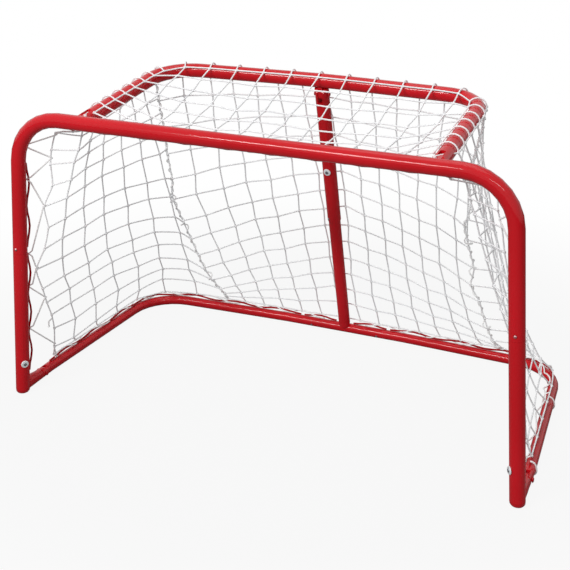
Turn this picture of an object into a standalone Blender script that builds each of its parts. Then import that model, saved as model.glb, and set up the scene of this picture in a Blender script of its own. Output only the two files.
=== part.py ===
"""Folding street-hockey goal: a red steel-tube frame with a knotted white net.

Sizes are in millimetres: x to the right, y back from the posts, z up from the floor.
The base folds up, the top frame folds down, and the telescoping rear strut swings clear.
"""
import math

import bmesh
import bpy
from mathutils import Vector

MM = 0.001
X = Vector((1, 0, 0))
Y = Vector((0, 1, 0))
Z = Vector((0, 0, 1))

# Tubes
frame_tube_radius = 12.7
base_tube_radius = 9.5
tube_wall = 1.8
sliding_fit = 0.3
touch_gap = 0.3
frame_sides = 16
longest_step = 60.0
base_sides = 12

# Front frame: one bent bow on two lower posts
crossbar_height = 525.0
post_offset = 418.5
foot_spread = 36.5
bow_corner_radius = 83.5
post_seam_height = 278.0
spigot_length = 40.0
foot_dome_height = 8.0
foot_flat_radius = 8.0
foot_stem_length = 20.0

# Snap buttons in the posts
button_above_seam = 9.0
button_radius = 2.5
button_flange_radius = 4.0
button_reach = 1.8
button_clearance = 0.4
leaf_width = 5.0
leaf_thickness = 0.6
leaf_drop = 24.0

# Base
base_depth = 468.0
base_corner_offset = 433.5
base_corner_depth = 454.7
base_corner_radius = 88.5
base_leg_straight = 25.0
base_arm_bend = 125.0
tee_half_length = 92.5
tee_bore_depth = 32.0
tee_screw_offset = 70.0
tee_screw_angle = 20.0

# Hinges
foot_hinge_setback = 63.0
foot_tongue_thickness = 6.0
top_tongue_thickness = 8.0
hinge_pin_radius = 3.0
pin_head_radius = 4.6
pin_head_height = 1.6
hinge_gap = 0.5
hinge_side_gap = 0.4
foot_bracket_height = 24.0

# Top frame
top_leg_offset = 301.5
top_corner_offset = 299.0
top_corner_depth = 281.8
top_bar_bow = 12.34
top_corner_radius = 70.7
top_bar_bend_radius = 1080.0
top_rise_angle = 5.96
top_leg_straight = 26.0
leg_bend_radius = 120.0
arm_bend_radius = 250.0

# Rear strut
strut_seam = 268.0
strut_insertion = 32.0
strut_travel = 215.0
strut_foot_stop = 11.4
strut_foot_slope = 0.44
strut_lock_above_seam = 6.0
strut_net_screw = 381.6

# Net and the wavy rods that carry it
rod_radius = 2.0
rod_sides = 6
post_rod_trough = 15.0
post_rod_crest = 21.0
base_rod_trough = 11.8
base_rod_crest = 16.5
post_rod_pitch = 72.0
base_rod_pitch = 92.0
post_rod_angle = 72.0
crossbar_rod_angle = 38.0
rod_start_height = 40.0
net_cord = 3.0
net_thickness = 2.6
seam_gap = 6.0
seam_before_corner = 42.0
net_stand_off = 5.5
strut_net_lean = 28.0
side_net_foot = 46.0
back_panel_half_width = 265.0
top_net_crown = 15.6
seam_sag = 38.0
seam_drop = 16.0
side_net_sag = 12.0
top_net_sag = 22.0
edge_stand_off = 46.0
edge_stand_off_top = 24.0
top_net_climb_start = 215.0
top_net_climb_end = 265.0
washer_radius = 7.0
washer_thickness = 1.5
screw_head_radius = 3.2
screw_shank_radius = 1.5
post_washer_height = 62.0
post_washer_angle = 55.0

# Derived positions
post_bore_radius = frame_tube_radius - tube_wall
spigot_radius = post_bore_radius - sliding_fit
spigot_bore_radius = spigot_radius - tube_wall - 0.2
foot_offset = post_offset + foot_spread
front_reach = frame_tube_radius + button_reach
net_reach = math.hypot(net_cord, net_thickness) / 2
post_net_offset = post_rod_crest + rod_radius + touch_gap + net_reach
base_net_offset = base_rod_crest + rod_radius + touch_gap + net_reach
top_net_offset = frame_tube_radius + net_stand_off + net_thickness / 2
net_lean = math.radians(strut_net_lean)
rear_reach = base_depth + max(base_tube_radius, base_net_offset * math.sin(net_lean) + net_cord / 2)
post_plane = -(rear_reach - front_reach) / 2
top_hinge_setback = 2 * frame_tube_radius + 2 * hinge_gap + 0.1
rise = math.radians(top_rise_angle)

PAINT = {
    "red": ((0.42, 0.006, 0.012), 0.0, 0.28),
    "steel": ((0.55, 0.55, 0.57), 1.0, 0.35),
    "white": ((0.80, 0.80, 0.80), 0.0, 0.55),
    "black": ((0.02, 0.02, 0.02), 0.0, 0.5),
}


def finish(obj, colour):
    """Give the object its own painted material."""
    base, metallic, roughness = PAINT[colour]
    material = bpy.data.materials.new(obj.name + "_" + colour)
    material.use_nodes = True
    shader = material.node_tree.nodes["Principled BSDF"]
    shader.inputs["Base Color"].default_value = (*base, 1.0)
    shader.inputs["Metallic"].default_value = metallic
    shader.inputs["Roughness"].default_value = roughness
    obj.data.materials.append(material)


def solid(name, points, faces, colour, pivot=None):
    """Make a closed mesh from goal coordinates, with its origin on the pivot."""
    pivot = Vector((0, 0, 0)) if pivot is None else pivot
    mesh = bpy.data.meshes.new(name)
    mesh.from_pydata([(Vector(p) - pivot) * MM for p in points], [], faces)
    body = bmesh.new()
    body.from_mesh(mesh)
    bmesh.ops.recalc_face_normals(body, faces=body.faces)
    body.to_mesh(mesh)
    body.free()
    mesh.shade_smooth()
    mesh.set_sharp_from_angle(angle=math.radians(40))
    obj = bpy.data.objects.new(name, mesh)
    obj.location = (pivot + Y * post_plane) * MM
    bpy.context.scene.collection.objects.link(obj)
    if colour:
        finish(obj, colour)
    return obj


def ring(centre, side, up, radius, sides, height=None):
    """Points of a circle, or of an ellipse when a height is given."""
    height = radius if height is None else height
    points = []
    for k in range(sides):
        angle = 2 * math.pi * k / sides
        points.append(centre + side * (height * math.cos(angle)) + up * (radius * math.sin(angle)))
    return points


def loft(name, rings, colour, pivot=None):
    """Skin equal rings in order and cap both ends."""
    count = len(rings[0])
    points = [p for r in rings for p in r]
    faces = []
    for a in range(len(rings) - 1):
        for b in range(count):
            c = (b + 1) % count
            faces.append((a * count + b, a * count + c, (a + 1) * count + c, (a + 1) * count + b))
    faces.append(tuple(range(count)))
    faces.append(tuple(range((len(rings) - 1) * count, len(rings) * count)))
    return solid(name, points, faces, colour, pivot)


def cross_axes(path, first_side):
    """Direction and two cross axes at each path point, carried along without twist."""
    result = []
    side = first_side
    for i, p in enumerate(path):
        direction = Vector((0, 0, 0))
        if i > 0:
            direction += (p - path[i - 1]).normalized()
        if i < len(path) - 1:
            direction += (path[i + 1] - p).normalized()
        direction.normalize()
        side = (side - direction * side.dot(direction)).normalized()
        result.append((direction, side, direction.cross(side)))
    return result


def tube(name, path, radius, sides, colour, pivot=None, first_side=Z, start=(), end=()):
    """Sweep a round bar; start and end list (distance into the bar, radius) of bores or spigots."""
    axes = cross_axes(path, first_side)
    rings = []
    for inset, size in start:
        rings.append(ring(path[0] + axes[0][0] * inset, axes[0][1], axes[0][2], size, sides))
    for p, (_, side, up) in zip(path, axes):
        rings.append(ring(p, side, up, radius, sides))
    for inset, size in end:
        rings.append(ring(path[-1] - axes[-1][0] * inset, axes[-1][1], axes[-1][2], size, sides))
    return loft(name, rings, colour, pivot)


def rounded_path(corners, radii, step_angle=15.0):
    """Replace each inner corner of a polyline by an arc of the given radius."""
    path = [corners[0]]
    for before, corner, after, radius in zip(corners, corners[1:], corners[2:], radii):
        a = (before - corner).normalized()
        b = (after - corner).normalized()
        turn = math.pi - a.angle(b)
        tangent = radius * math.tan(turn / 2)
        centre = corner + (a + b).normalized() * (radius / math.cos(turn / 2))
        first = corner + a * tangent - centre
        last = corner + b * tangent - centre
        steps = max(2, round(math.degrees(turn) / step_angle), round(radius * turn / longest_step))
        for k in range(steps + 1):
            t = k / steps
            path.append(centre + (first * math.sin((1 - t) * turn) + last * math.sin(t * turn)) / math.sin(turn))
    path.append(corners[-1])
    return path


class Track:
    """A path that can be asked for its point and direction at any distance."""

    def __init__(self, path):
        self.path = path
        self.marks = [0.0]
        for a, b in zip(path, path[1:]):
            self.marks.append(self.marks[-1] + (b - a).length)
        self.length = self.marks[-1]

    def at(self, distance):
        distance = min(max(distance, 0.0), self.length)
        for i in range(len(self.path) - 1):
            if distance <= self.marks[i + 1] or i == len(self.path) - 2:
                a = self.path[i]
                b = self.path[i + 1]
                t = (distance - self.marks[i]) / (self.marks[i + 1] - self.marks[i])
                return a.lerp(b, t), (b - a).normalized()

    def find(self, measure, value):
        """First distance at which measure(point) reaches value."""
        steps = 2000
        sign = measure(self.path[0]) - value
        for k in range(steps + 1):
            distance = self.length * k / steps
            if (measure(self.at(distance)[0]) - value) * sign <= 0:
                return distance
        return self.length


def turned(name, origin, axis, profile, colour, pivot=None, sides=16):
    """Turn a (distance along axis, radius) profile round an axis."""
    side = axis.orthogonal().normalized()
    if abs(axis.z) < 0.9:
        side = (Z - axis * axis.z).normalized()
    up = axis.cross(side)
    rings = [ring(origin + axis * d, side, up, r, sides) for d, r in profile]
    return loft(name, rings, colour, pivot)


def plate(name, origin, along, across, normal, outline, thickness, colour, pivot=None):
    """Extrude an outline of (along, across) points to both sides of its plane."""
    points = []
    for side in (-1, 1):
        points += [origin + along * a + across * b + normal * (side * thickness / 2) for a, b in outline]
    n = len(outline)
    faces = [tuple(range(n)), tuple(range(n, 2 * n))]
    faces += [(k, (k + 1) % n, n + (k + 1) % n, n + k) for k in range(n)]
    return solid(name, points, faces, colour, pivot)


def boolean(obj, cutter, operation="DIFFERENCE"):
    """Cut or trim the object with a hidden cutter."""
    cutter.hide_render = True
    cutter.display_type = "WIRE"
    step = obj.modifiers.new(cutter.name, "BOOLEAN")
    step.operation = operation
    step.solver = "EXACT"
    step.object = cutter


def drill(obj, origin, axis, radius, near, far, sides=12):
    """Cut a round hole between two distances along an axis."""
    count = len(obj.modifiers)
    cutter = turned(f"{obj.name}_drill_{count}", origin, axis, [(near, radius), (far, radius)], None, sides=sides)
    boolean(obj, cutter)


def arc(radius, first, last, steps):
    """Points of an arc in (along, across), angles in degrees."""
    points = []
    for k in range(steps + 1):
        angle = math.radians(first + (last - first) * k / steps)
        points.append((radius * math.cos(angle), radius * math.sin(angle)))
    return points


def fork_end(obj, pivot, along, radius, tongue):
    """Round a tube's end about its hinge, slot it for the tongue and drill it for the pin."""
    across = X.cross(along)
    reach = 2000.0
    round_end = arc(radius + 0.05, 90, 270, 12)
    outline = round_end + [(radius, -3 * radius), (reach, -3 * radius), (reach, 3 * radius), (radius, 3 * radius)]
    trim = plate(f"{obj.name}_round_{pivot.x:.0f}", pivot, along, across, X, outline, 2 * reach, None)
    boolean(obj, trim, "INTERSECT")
    slot_width = tongue + 2 * hinge_side_gap
    slot_depth = radius + 2 * hinge_gap + 0.6
    slot_outline = [(-2 * radius, -2 * radius), (slot_depth, -2 * radius)]
    slot_outline += [(slot_depth, 2 * radius), (-2 * radius, 2 * radius)]
    slot = plate(f"{obj.name}_slot_{pivot.x:.0f}", pivot, along, across, X, slot_outline, slot_width, None)
    boolean(obj, slot)
    drill(obj, pivot, X, hinge_pin_radius + sliding_fit, -2 * radius, 2 * radius)


def hinge_pin(side, place, pivot, radius, body_pivot):
    """A headed pin and the washer-faced nut on its other end."""
    outer = radius + touch_gap
    head = outer + pin_head_height
    profile = [(-head, pin_head_radius * 0.7), (-head + 0.6, pin_head_radius), (-outer, pin_head_radius)]
    profile += [(-outer, hinge_pin_radius), (head + 0.4, hinge_pin_radius)]
    axis = X if side == "right" else -X
    turned(f"{side}_{place}_pin", pivot, axis, profile, "red", body_pivot, sides=12)
    bore = hinge_pin_radius + touch_gap * 0.5
    nut = [(outer, bore), (outer, pin_head_radius), (head - 0.5, pin_head_radius), (head, pin_head_radius * 0.8)]
    ring_solid(f"{side}_{place}_pin_cap", pivot, axis, nut + [(head, bore)], "red", body_pivot, 12)


def ring_solid(name, origin, axis, section, colour, pivot=None, sides=16):
    """Turn a closed section round an axis: a washer, nut or sleeve."""
    side = axis.orthogonal().normalized()
    if abs(axis.z) < 0.9:
        side = (Z - axis * axis.z).normalized()
    up = axis.cross(side)
    rings = [ring(origin + axis * d, side, up, r, sides) for d, r in section]
    count = len(rings)
    points = [p for r in rings for p in r]
    faces = []
    for a in range(count):
        e = (a + 1) % count
        for b in range(sides):
            c = (b + 1) % sides
            faces.append((a * sides + b, a * sides + c, e * sides + c, e * sides + b))
    return solid(name, points, faces, colour, pivot)


def wavy_rod(name, track, start, stop, toward, pitch, trough, crest, pivot=None):
    """A bent rod that touches the tube at its troughs and stands off at its crests."""
    waves = max(1, round((stop - start) / pitch))
    steps = 6 * waves
    path = []
    for k in range(steps + 1):
        point, direction = track.at(start + (stop - start) * k / steps)
        height = trough + (crest - trough) * (0.5 - 0.5 * math.cos(2 * math.pi * k / 6))
        path.append(point + toward(direction) * height)
    return tube(name, path, rod_radius, rod_sides, "red", pivot, first_side=toward(track.at(start)[1]))


def net_panel(name, grid, colour, pivot=None):
    """A flat net: crossing cords with a node square at each crossing."""
    rows = len(grid)
    columns = len(grid[0])
    half = net_cord / 2
    points = []

    def index(i, j, a, b, top):
        return ((i * columns + j) * 8) + (4 if top else 0) + (2 if a > 0 else 0) + (1 if b > 0 else 0)

    for i in range(rows):
        for j in range(columns):
            along = (grid[min(i + 1, rows - 1)][j] - grid[max(i - 1, 0)][j]).normalized()
            across = (grid[i][min(j + 1, columns - 1)] - grid[i][max(j - 1, 0)]).normalized()
            normal = along.cross(across).normalized()
            for level in (-1, 1):
                for a in (-1, 1):
                    for b in (-1, 1):
                        offset = along * (a * half) + across * (b * half) + normal * (level * net_thickness / 2)
                        points.append(grid[i][j] + offset)
    faces = []

    def strip(first, second, third, fourth):
        for top in (False, True):
            faces.append([index(*corner, top) for corner in (first, second, third, fourth)])

    def wall(first, second):
        faces.append([index(*first, False), index(*second, False), index(*second, True), index(*first, True)])

    for i in range(rows):
        for j in range(columns):
            strip((i, j, -1, -1), (i, j, -1, 1), (i, j, 1, 1), (i, j, 1, -1))
            if i < rows - 1:
                strip((i, j, 1, -1), (i, j, 1, 1), (i + 1, j, -1, 1), (i + 1, j, -1, -1))
                wall((i, j, 1, -1), (i + 1, j, -1, -1))
                wall((i, j, 1, 1), (i + 1, j, -1, 1))
            if j < columns - 1:
                strip((i, j, -1, 1), (i, j, 1, 1), (i, j + 1, 1, -1), (i, j + 1, -1, -1))
                wall((i, j, -1, 1), (i, j + 1, -1, -1))
                wall((i, j, 1, 1), (i, j + 1, 1, -1))
            if i == 0:
                wall((i, j, -1, -1), (i, j, -1, 1))
            if i == rows - 1:
                wall((i, j, 1, -1), (i, j, 1, 1))
            if j == 0:
                wall((i, j, -1, -1), (i, j, 1, -1))
            if j == columns - 1:
                wall((i, j, -1, 1), (i, j, 1, 1))
    return solid(name, points, faces, colour, pivot)


def coons(top, bottom, front, rear, rows, columns):
    """Grid between four border tracks; rows run down, columns run from front to rear."""
    a = top.at(0)[0]
    b = top.at(top.length)[0]
    c = bottom.at(0)[0]
    d = bottom.at(bottom.length)[0]
    grid = []
    for i in range(rows + 1):
        v = i / rows
        row = []
        for j in range(columns + 1):
            u = j / columns
            across = top.at(top.length * u)[0] * (1 - v) + bottom.at(bottom.length * u)[0] * v
            down = front.at(front.length * v)[0] * (1 - u) + rear.at(rear.length * v)[0] * u
            corners = (a * (1 - u) + b * u) * (1 - v) + (c * (1 - u) + d * u) * v
            row.append(across + down - corners)
        grid.append(row)
    return grid


for old in list(bpy.data.objects):
    bpy.data.objects.remove(old, do_unlink=True)

# The lines that the tubes follow
sides = {"left": -1, "right": 1}
post_lean = foot_spread / crossbar_height


def post_point(sign, height):
    """Centre of a post at a height; the posts spread towards the floor."""
    return Vector((sign * (foot_offset - post_lean * height), 0, height))


front_line = Track(rounded_path(
    [post_point(-1, 0), post_point(-1, crossbar_height), post_point(1, crossbar_height), post_point(1, 0)],
    [bow_corner_radius, bow_corner_radius], 12.0))


def base_corners(sign):
    start = foot_hinge_setback - base_tube_radius
    return [
        Vector((sign * foot_offset, start, base_tube_radius)),
        Vector((sign * foot_offset, foot_hinge_setback + base_leg_straight, base_tube_radius)),
        Vector((sign * base_corner_offset, base_corner_depth, base_tube_radius)),
        Vector((sign * base_arm_bend, base_depth, base_tube_radius)),
        Vector((sign * tee_half_length, base_depth, base_tube_radius)),
    ]


def top_point(x, depth):
    """A point of the sloping plane that the top frame lies in."""
    return Vector((x, top_hinge_setback + depth * math.cos(rise), crossbar_height + depth * math.sin(rise)))


top_line = Track(rounded_path(
    [top_point(-top_leg_offset, -frame_tube_radius), top_point(-top_leg_offset, top_leg_straight),
     top_point(-top_corner_offset, top_corner_depth), top_point(0, top_corner_depth + top_bar_bow),
     top_point(top_corner_offset, top_corner_depth), top_point(top_leg_offset, top_leg_straight),
     top_point(top_leg_offset, -frame_tube_radius)],
    [leg_bend_radius, top_corner_radius, top_bar_bend_radius, top_corner_radius, leg_bend_radius], 10.0))

tee_centre = Vector((0, base_depth, base_tube_radius))
top_mid = top_line.at(top_line.length / 2)[0]
foot_pivot = Vector((0, foot_hinge_setback, base_tube_radius))
top_pivot = Vector((0, top_hinge_setback, crossbar_height))
strut_up = (top_mid - tee_centre).normalized()
strut_length = (top_mid - tee_centre).length
strut_pivot = top_mid - strut_up * top_hinge_setback
strut_rear = X.cross(strut_up) * -1
if strut_rear.y < 0:
    strut_rear = -strut_rear
top_along = Vector((0, math.cos(rise), math.sin(rise)))
top_normal = Vector((0, -math.sin(rise), math.cos(rise)))

# Front frame
bow_start = front_line.find(lambda p: p.z, post_seam_height)
bow_path = [post_point(-1, post_seam_height)]
bow_path += [p for p in front_line.path[1:-1]]
bow_path += [post_point(1, post_seam_height)]
bow_bore = [(spigot_length + 2.0, post_bore_radius), (0.0, post_bore_radius)]
front_bow = tube("front_bow", bow_path, frame_tube_radius, frame_sides, "red", first_side=Y,
                 start=bow_bore, end=bow_bore[::-1])
button_height = post_seam_height + button_above_seam
facet_depth = 1 - math.cos(math.pi / frame_sides)
button_seat = math.sqrt((spigot_bore_radius * (1 - facet_depth)) ** 2 - button_flange_radius ** 2) - touch_gap
button_tip = frame_tube_radius + button_reach
for name, sign in sides.items():
    seam = post_seam_height - touch_gap
    top_bore = spigot_length + 30.0
    heights = [
        (foot_dome_height + touch_gap + foot_stem_length + 2.0, spigot_radius + sliding_fit),
        (foot_dome_height + touch_gap, spigot_radius + sliding_fit),
        (foot_dome_height + touch_gap, frame_tube_radius),
        (seam, frame_tube_radius),
        (seam, spigot_radius),
        (seam + spigot_length, spigot_radius),
        (seam + spigot_length, spigot_bore_radius),
        (seam + spigot_length - top_bore, spigot_bore_radius),
    ]
    lean = (post_point(sign, crossbar_height) - post_point(sign, 0)).normalized()
    square = Y.cross(lean)
    rings = [ring(post_point(sign, h), Y, square, r, frame_sides) for h, r in heights]
    lower_post = loft(f"{name}_lower_post", rings, "red")
    cap = [
        (0.0, foot_flat_radius),
        (foot_dome_height * 0.15, foot_flat_radius + (frame_tube_radius - foot_flat_radius) * 0.45),
        (foot_dome_height * 0.45, foot_flat_radius + (frame_tube_radius - foot_flat_radius) * 0.85),
        (foot_dome_height, frame_tube_radius),
        (foot_dome_height, spigot_radius),
        (foot_dome_height + foot_stem_length, spigot_radius),
    ]
    rings = [ring(post_point(sign, h), Y, X if h < foot_dome_height else square, r, frame_sides) for h, r in cap]
    loft(f"{name}_foot_cap", rings, "red")

    hole = button_radius + button_clearance
    seat = post_point(sign, button_height)
    drill(front_bow, seat, -Y, hole, spigot_radius - 1.0, frame_tube_radius + 4.0)
    drill(lower_post, seat, -Y, hole, spigot_bore_radius - 1.0, frame_tube_radius + 4.0)
    profile = [
        (button_seat - 1.2, button_flange_radius),
        (button_seat, button_flange_radius),
        (button_seat, button_radius),
        (button_tip - 0.9, button_radius),
        (button_tip - 0.25, button_radius * 0.75),
        (button_tip, button_radius * 0.4),
    ]
    turned(f"{name}_snap_button", seat, -Y, profile, "steel", seat, sides=12)
    leaf_back = spigot_bore_radius - touch_gap - 0.6
    leaf_front = button_seat - 1.2 - touch_gap
    outline = [(-leaf_front, 3.0), (-leaf_front + leaf_thickness, 3.0), (0.0, -leaf_drop + 1.2),
               (leaf_back - leaf_thickness, 3.0), (leaf_back, 3.0), (leaf_thickness, -leaf_drop),
               (-leaf_thickness, -leaf_drop)]
    plate(f"{name}_button_spring", seat, Y, Z, X, outline, leaf_width, "steel")

# Post and crossbar lacing rods
def from_front(angle):
    tilt = math.radians(angle)
    return lambda direction: Y.cross(direction) * math.cos(tilt) + Y * math.sin(tilt)


corner_run = bow_corner_radius * 1.02
for name, sign in sides.items():
    post_line = Track([post_point(sign, 0), post_point(sign, crossbar_height)])
    inward = from_front(post_rod_angle)
    toward = (lambda d, n=inward: n(d)) if sign < 0 else (lambda d, n=inward: n(-d))
    wavy_rod(f"{name}_lower_post_rod", post_line, rod_start_height, post_seam_height - 6.0, toward,
             post_rod_pitch, post_rod_trough, post_rod_crest)
    wavy_rod(f"{name}_upper_post_rod", post_line, post_seam_height + 6.0, crossbar_height - corner_run,
             toward, post_rod_pitch, post_rod_trough, post_rod_crest)
    crossbar_line = Track([Vector((sign * top_leg_offset, 0, crossbar_height)),
                           Vector((sign * post_offset, 0, crossbar_height))])
    below = from_front(crossbar_rod_angle)
    toward = (lambda d, n=below: n(d)) if sign > 0 else (lambda d, n=below: n(-d))
    wavy_rod(f"{name}_corner_rod", crossbar_line, top_tongue_thickness / 2,
             crossbar_line.length - corner_run, toward, post_rod_pitch, post_rod_trough, post_rod_crest)
middle_line = Track([Vector((-top_leg_offset, 0, crossbar_height)), Vector((top_leg_offset, 0, crossbar_height))])
wavy_rod("crossbar_rod", middle_line, top_tongue_thickness / 2, middle_line.length - top_tongue_thickness / 2,
         from_front(crossbar_rod_angle), post_rod_pitch, post_rod_trough, post_rod_crest)

# Foot brackets, base halves and tee
shoulder = base_tube_radius + hinge_gap
for name, sign in sides.items():
    pivot = Vector((sign * foot_offset, foot_hinge_setback, base_tube_radius))
    high = foot_bracket_height / 2
    sections = [(2.0, 10.5, high), (22.0, 10.5, high), (44.0, base_tube_radius, base_tube_radius + 0.6),
                (foot_hinge_setback - 2.0, base_tube_radius, base_tube_radius),
                (foot_hinge_setback + 2 * base_tube_radius, base_tube_radius, base_tube_radius)]
    rings = []
    for depth, wide, tall in sections:
        centre = Vector((sign * foot_offset, depth, tall))
        rings.append(ring(centre, Z, X, wide, frame_sides, tall))
    bracket = loft(f"{name}_foot_bracket", rings, "red")
    lean = (post_point(sign, crossbar_height) - post_point(sign, 0)).normalized()
    drill(bracket, post_point(sign, 0), lean, frame_tube_radius + touch_gap, -20.0, 60.0, 32)
    half = foot_tongue_thickness / 2
    for side in (-1, 1):
        outline = [(-shoulder, 3 * shoulder)] + arc(shoulder, 180, 270, 6)
        outline += [(0.0, -3 * shoulder), (6 * shoulder, -3 * shoulder), (6 * shoulder, 3 * shoulder)]
        wide = 20.0
        cheek = plate(f"{bracket.name}_cheek_{side}", pivot + X * (side * (half + wide / 2)), Y, Z, X,
                      outline, wide, None)
        boolean(bracket, cheek)
    tongue = arc(base_tube_radius - 0.6, -90, 90, 10)
    outline = tongue + [(0.0, 40.0), (-80.0, 40.0), (-80.0, -40.0), (0.0, -40.0)]
    trim = plate(f"{bracket.name}_tongue", pivot, Y, Z, X, outline, 60.0, None)
    boolean(bracket, trim, "INTERSECT")
    drill(bracket, pivot, X, hinge_pin_radius + sliding_fit, -30.0, 30.0)

    corners = base_corners(sign)
    path = rounded_path(corners, [leg_bend_radius, base_corner_radius, arm_bend_radius], 12.0)
    spigot = base_tube_radius - tube_wall + 0.3
    half_base = tube(f"base_{name}_half", path, base_tube_radius, base_sides, "red", foot_pivot,
                     end=[(0.0, spigot), (-tee_bore_depth + 2.0, spigot)])
    fork_end(half_base, pivot, Y, base_tube_radius, foot_tongue_thickness)
    hinge_pin(name, "foot", pivot, base_tube_radius, foot_pivot)

    base_line = Track(path)
    start = base_line.find(lambda p: p.y, foot_hinge_setback + base_leg_straight)
    wavy_rod(f"base_{name}_rod", base_line, start, base_line.length - 4.0, lambda d: Z.copy(),
             base_rod_pitch, base_rod_trough, base_rod_crest, foot_pivot)

tee_path = [tee_centre - X * (tee_half_length - touch_gap), tee_centre + X * (tee_half_length - touch_gap)]
tee_bore = base_tube_radius - tube_wall + 0.3 + sliding_fit
rear_tee = tube("rear_tee", tee_path, base_tube_radius, frame_sides, "red", foot_pivot,
                start=[(tee_bore_depth, tee_bore), (0.0, tee_bore)], end=[(0.0, tee_bore), (tee_bore_depth, tee_bore)])
screw_axis = Vector((0, -math.cos(math.radians(tee_screw_angle)), -math.sin(math.radians(tee_screw_angle))))
for name, sign in sides.items():
    seat = tee_centre + X * (sign * tee_screw_offset)
    drill(rear_tee, seat, screw_axis, screw_shank_radius + sliding_fit, tee_bore - 1.0, base_tube_radius + 2.0, 8)
    face = base_tube_radius + touch_gap
    profile = [(tee_bore + 0.1, screw_shank_radius), (face, screw_shank_radius), (face, screw_head_radius * 0.7),
               (face + 0.5, screw_head_radius * 0.65), (face + 0.8, screw_head_radius * 0.35)]
    turned(f"{name}_tee_screw", seat, screw_axis, profile, "steel", foot_pivot, sides=10)
    tee_line = Track([tee_centre, tee_centre + X * (sign * tee_half_length)])
    wavy_rod(f"{name}_tee_rod", tee_line, frame_tube_radius + 6.0, tee_half_length - 4.0, lambda d: Z.copy(),
             base_rod_pitch, base_rod_trough, base_rod_crest, foot_pivot)

# Top frame
top_frame = tube("top_frame", top_line.path, frame_tube_radius, frame_sides, "red", top_pivot, first_side=Z)
tongue_radius = frame_tube_radius - 2.2
neck = tongue_radius - 2.0
for name, sign in sides.items():
    pivot = top_pivot + X * (sign * top_leg_offset)
    fork_end(top_frame, pivot, top_along, frame_tube_radius, top_tongue_thickness)
    outline = arc(tongue_radius, -90, 90, 10) + [(-14.0, neck), (-top_hinge_setback + 4.0, neck)]
    outline += [(-top_hinge_setback + 4.0, -neck), (-14.0, -neck)]
    lug = plate(f"{name}_top_lug", pivot, Y, Z, X, outline, top_tongue_thickness, "red")
    drill(lug, Vector((sign * top_leg_offset, 0, crossbar_height)), X, frame_tube_radius + touch_gap,
          -20.0, 20.0, 32)
    drill(lug, pivot, X, hinge_pin_radius + sliding_fit, -20.0, 20.0)
    hinge_pin(name, "top", pivot, frame_tube_radius, top_pivot)

# Rear strut
outline = arc(tongue_radius, -90, 90, 10) + [(-14.0, neck), (-top_hinge_setback + 4.0, neck)]
outline += [(-top_hinge_setback + 4.0, -neck), (-14.0, -neck)]
strut_lug = plate("strut_lug", strut_pivot, -strut_up, strut_rear, X, outline, top_tongue_thickness, "red",
                  top_pivot)
drill(strut_lug, top_mid, X, frame_tube_radius + touch_gap, -20.0, 20.0, 32)
drill(strut_lug, strut_pivot, X, hinge_pin_radius + sliding_fit, -20.0, 20.0)

strut_inner_radius = post_bore_radius + 0.5
strut_bore_radius = strut_inner_radius + sliding_fit
bore_length = strut_insertion + strut_travel + 2.0
upper_path = [tee_centre + strut_up * strut_seam, strut_pivot + strut_up * frame_tube_radius]
strut_upper = tube("strut_upper", upper_path, frame_tube_radius, frame_sides, "red", strut_pivot,
                   first_side=strut_rear, start=[(bore_length, strut_bore_radius), (0.0, strut_bore_radius)])
fork_end(strut_upper, strut_pivot, -strut_up, frame_tube_radius, top_tongue_thickness)
hinge_pin("right", "strut", strut_pivot, frame_tube_radius, strut_pivot)

foot_ring = ring(tee_centre + strut_up * strut_foot_stop, strut_rear, X, strut_inner_radius, frame_sides)
foot_ring = [p + strut_up * (strut_foot_slope * (p - tee_centre).dot(strut_rear)) for p in foot_ring]
rings = [foot_ring]
for distance, radius in ((24.0, strut_inner_radius), (strut_seam + strut_insertion, strut_inner_radius)):
    rings.append(ring(tee_centre + strut_up * distance, strut_rear, X, radius, frame_sides))
loft("strut_lower", rings, "red", tee_centre + strut_up * strut_seam)

lock_seat = tee_centre + strut_up * (strut_seam + strut_lock_above_seam)
lock_axis = (-strut_rear * math.cos(math.radians(35)) - X * math.sin(math.radians(35))).normalized()
net_seat = tee_centre + strut_up * strut_net_screw


def wall_screw(name, carrier, seat, axis, outer_radius, inner_radius, washer, pivot):
    """A screw through one tube wall, with a white net washer under its head if asked."""
    drill(carrier, seat, axis, screw_shank_radius + sliding_fit, inner_radius - 1.0, outer_radius + 3.0, 8)
    face = outer_radius + touch_gap
    if washer:
        section = [(face, screw_shank_radius + sliding_fit), (face, washer_radius),
                   (face + washer_thickness, washer_radius * 0.85),
                   (face + washer_thickness, screw_shank_radius + sliding_fit)]
        ring_solid(f"{name}_washer", seat, axis, section, "white", pivot, 20)
        face += washer_thickness + touch_gap * 0.5
    head = screw_head_radius if washer else screw_head_radius * 0.7
    profile = [(inner_radius + 0.2, screw_shank_radius), (face, screw_shank_radius), (face, head),
               (face + 0.6, head * 0.9), (face + 1.0, head * 0.5)]
    turned(f"{name}_screw", seat, axis, profile, "steel", pivot, sides=12)


wall_screw("strut_lock", strut_upper, lock_seat, lock_axis, frame_tube_radius, strut_bore_radius, False, strut_pivot)
wall_screw("strut_net", strut_upper, net_seat, -strut_rear, frame_tube_radius, strut_bore_radius, True, strut_pivot)
for name, sign in sides.items():
    post = bpy.data.objects[f"{name}_lower_post"]
    turn = math.radians(post_washer_angle)
    axis = (-Y * math.cos(turn) - X * (sign * math.sin(turn))).normalized()
    wall_screw(f"{name}_post_net", post, post_point(sign, post_washer_height), axis, frame_tube_radius,
               frame_tube_radius - 3.0, True, None)

# Net panels
def beside(track, start, stop, steps, toward, offset):
    """A line that runs beside a track."""
    points = []
    for k in range(steps + 1):
        point, direction = track.at(start + (stop - start) * k / steps)
        points.append(point + toward(direction) * offset)
    return points


half_top = top_line.length / 2
corner_mark = top_line.find(lambda p: p.y, top_point(0, top_corner_depth - seam_before_corner).y)


def top_outward(direction):
    return direction.cross(top_normal) * -1


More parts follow.
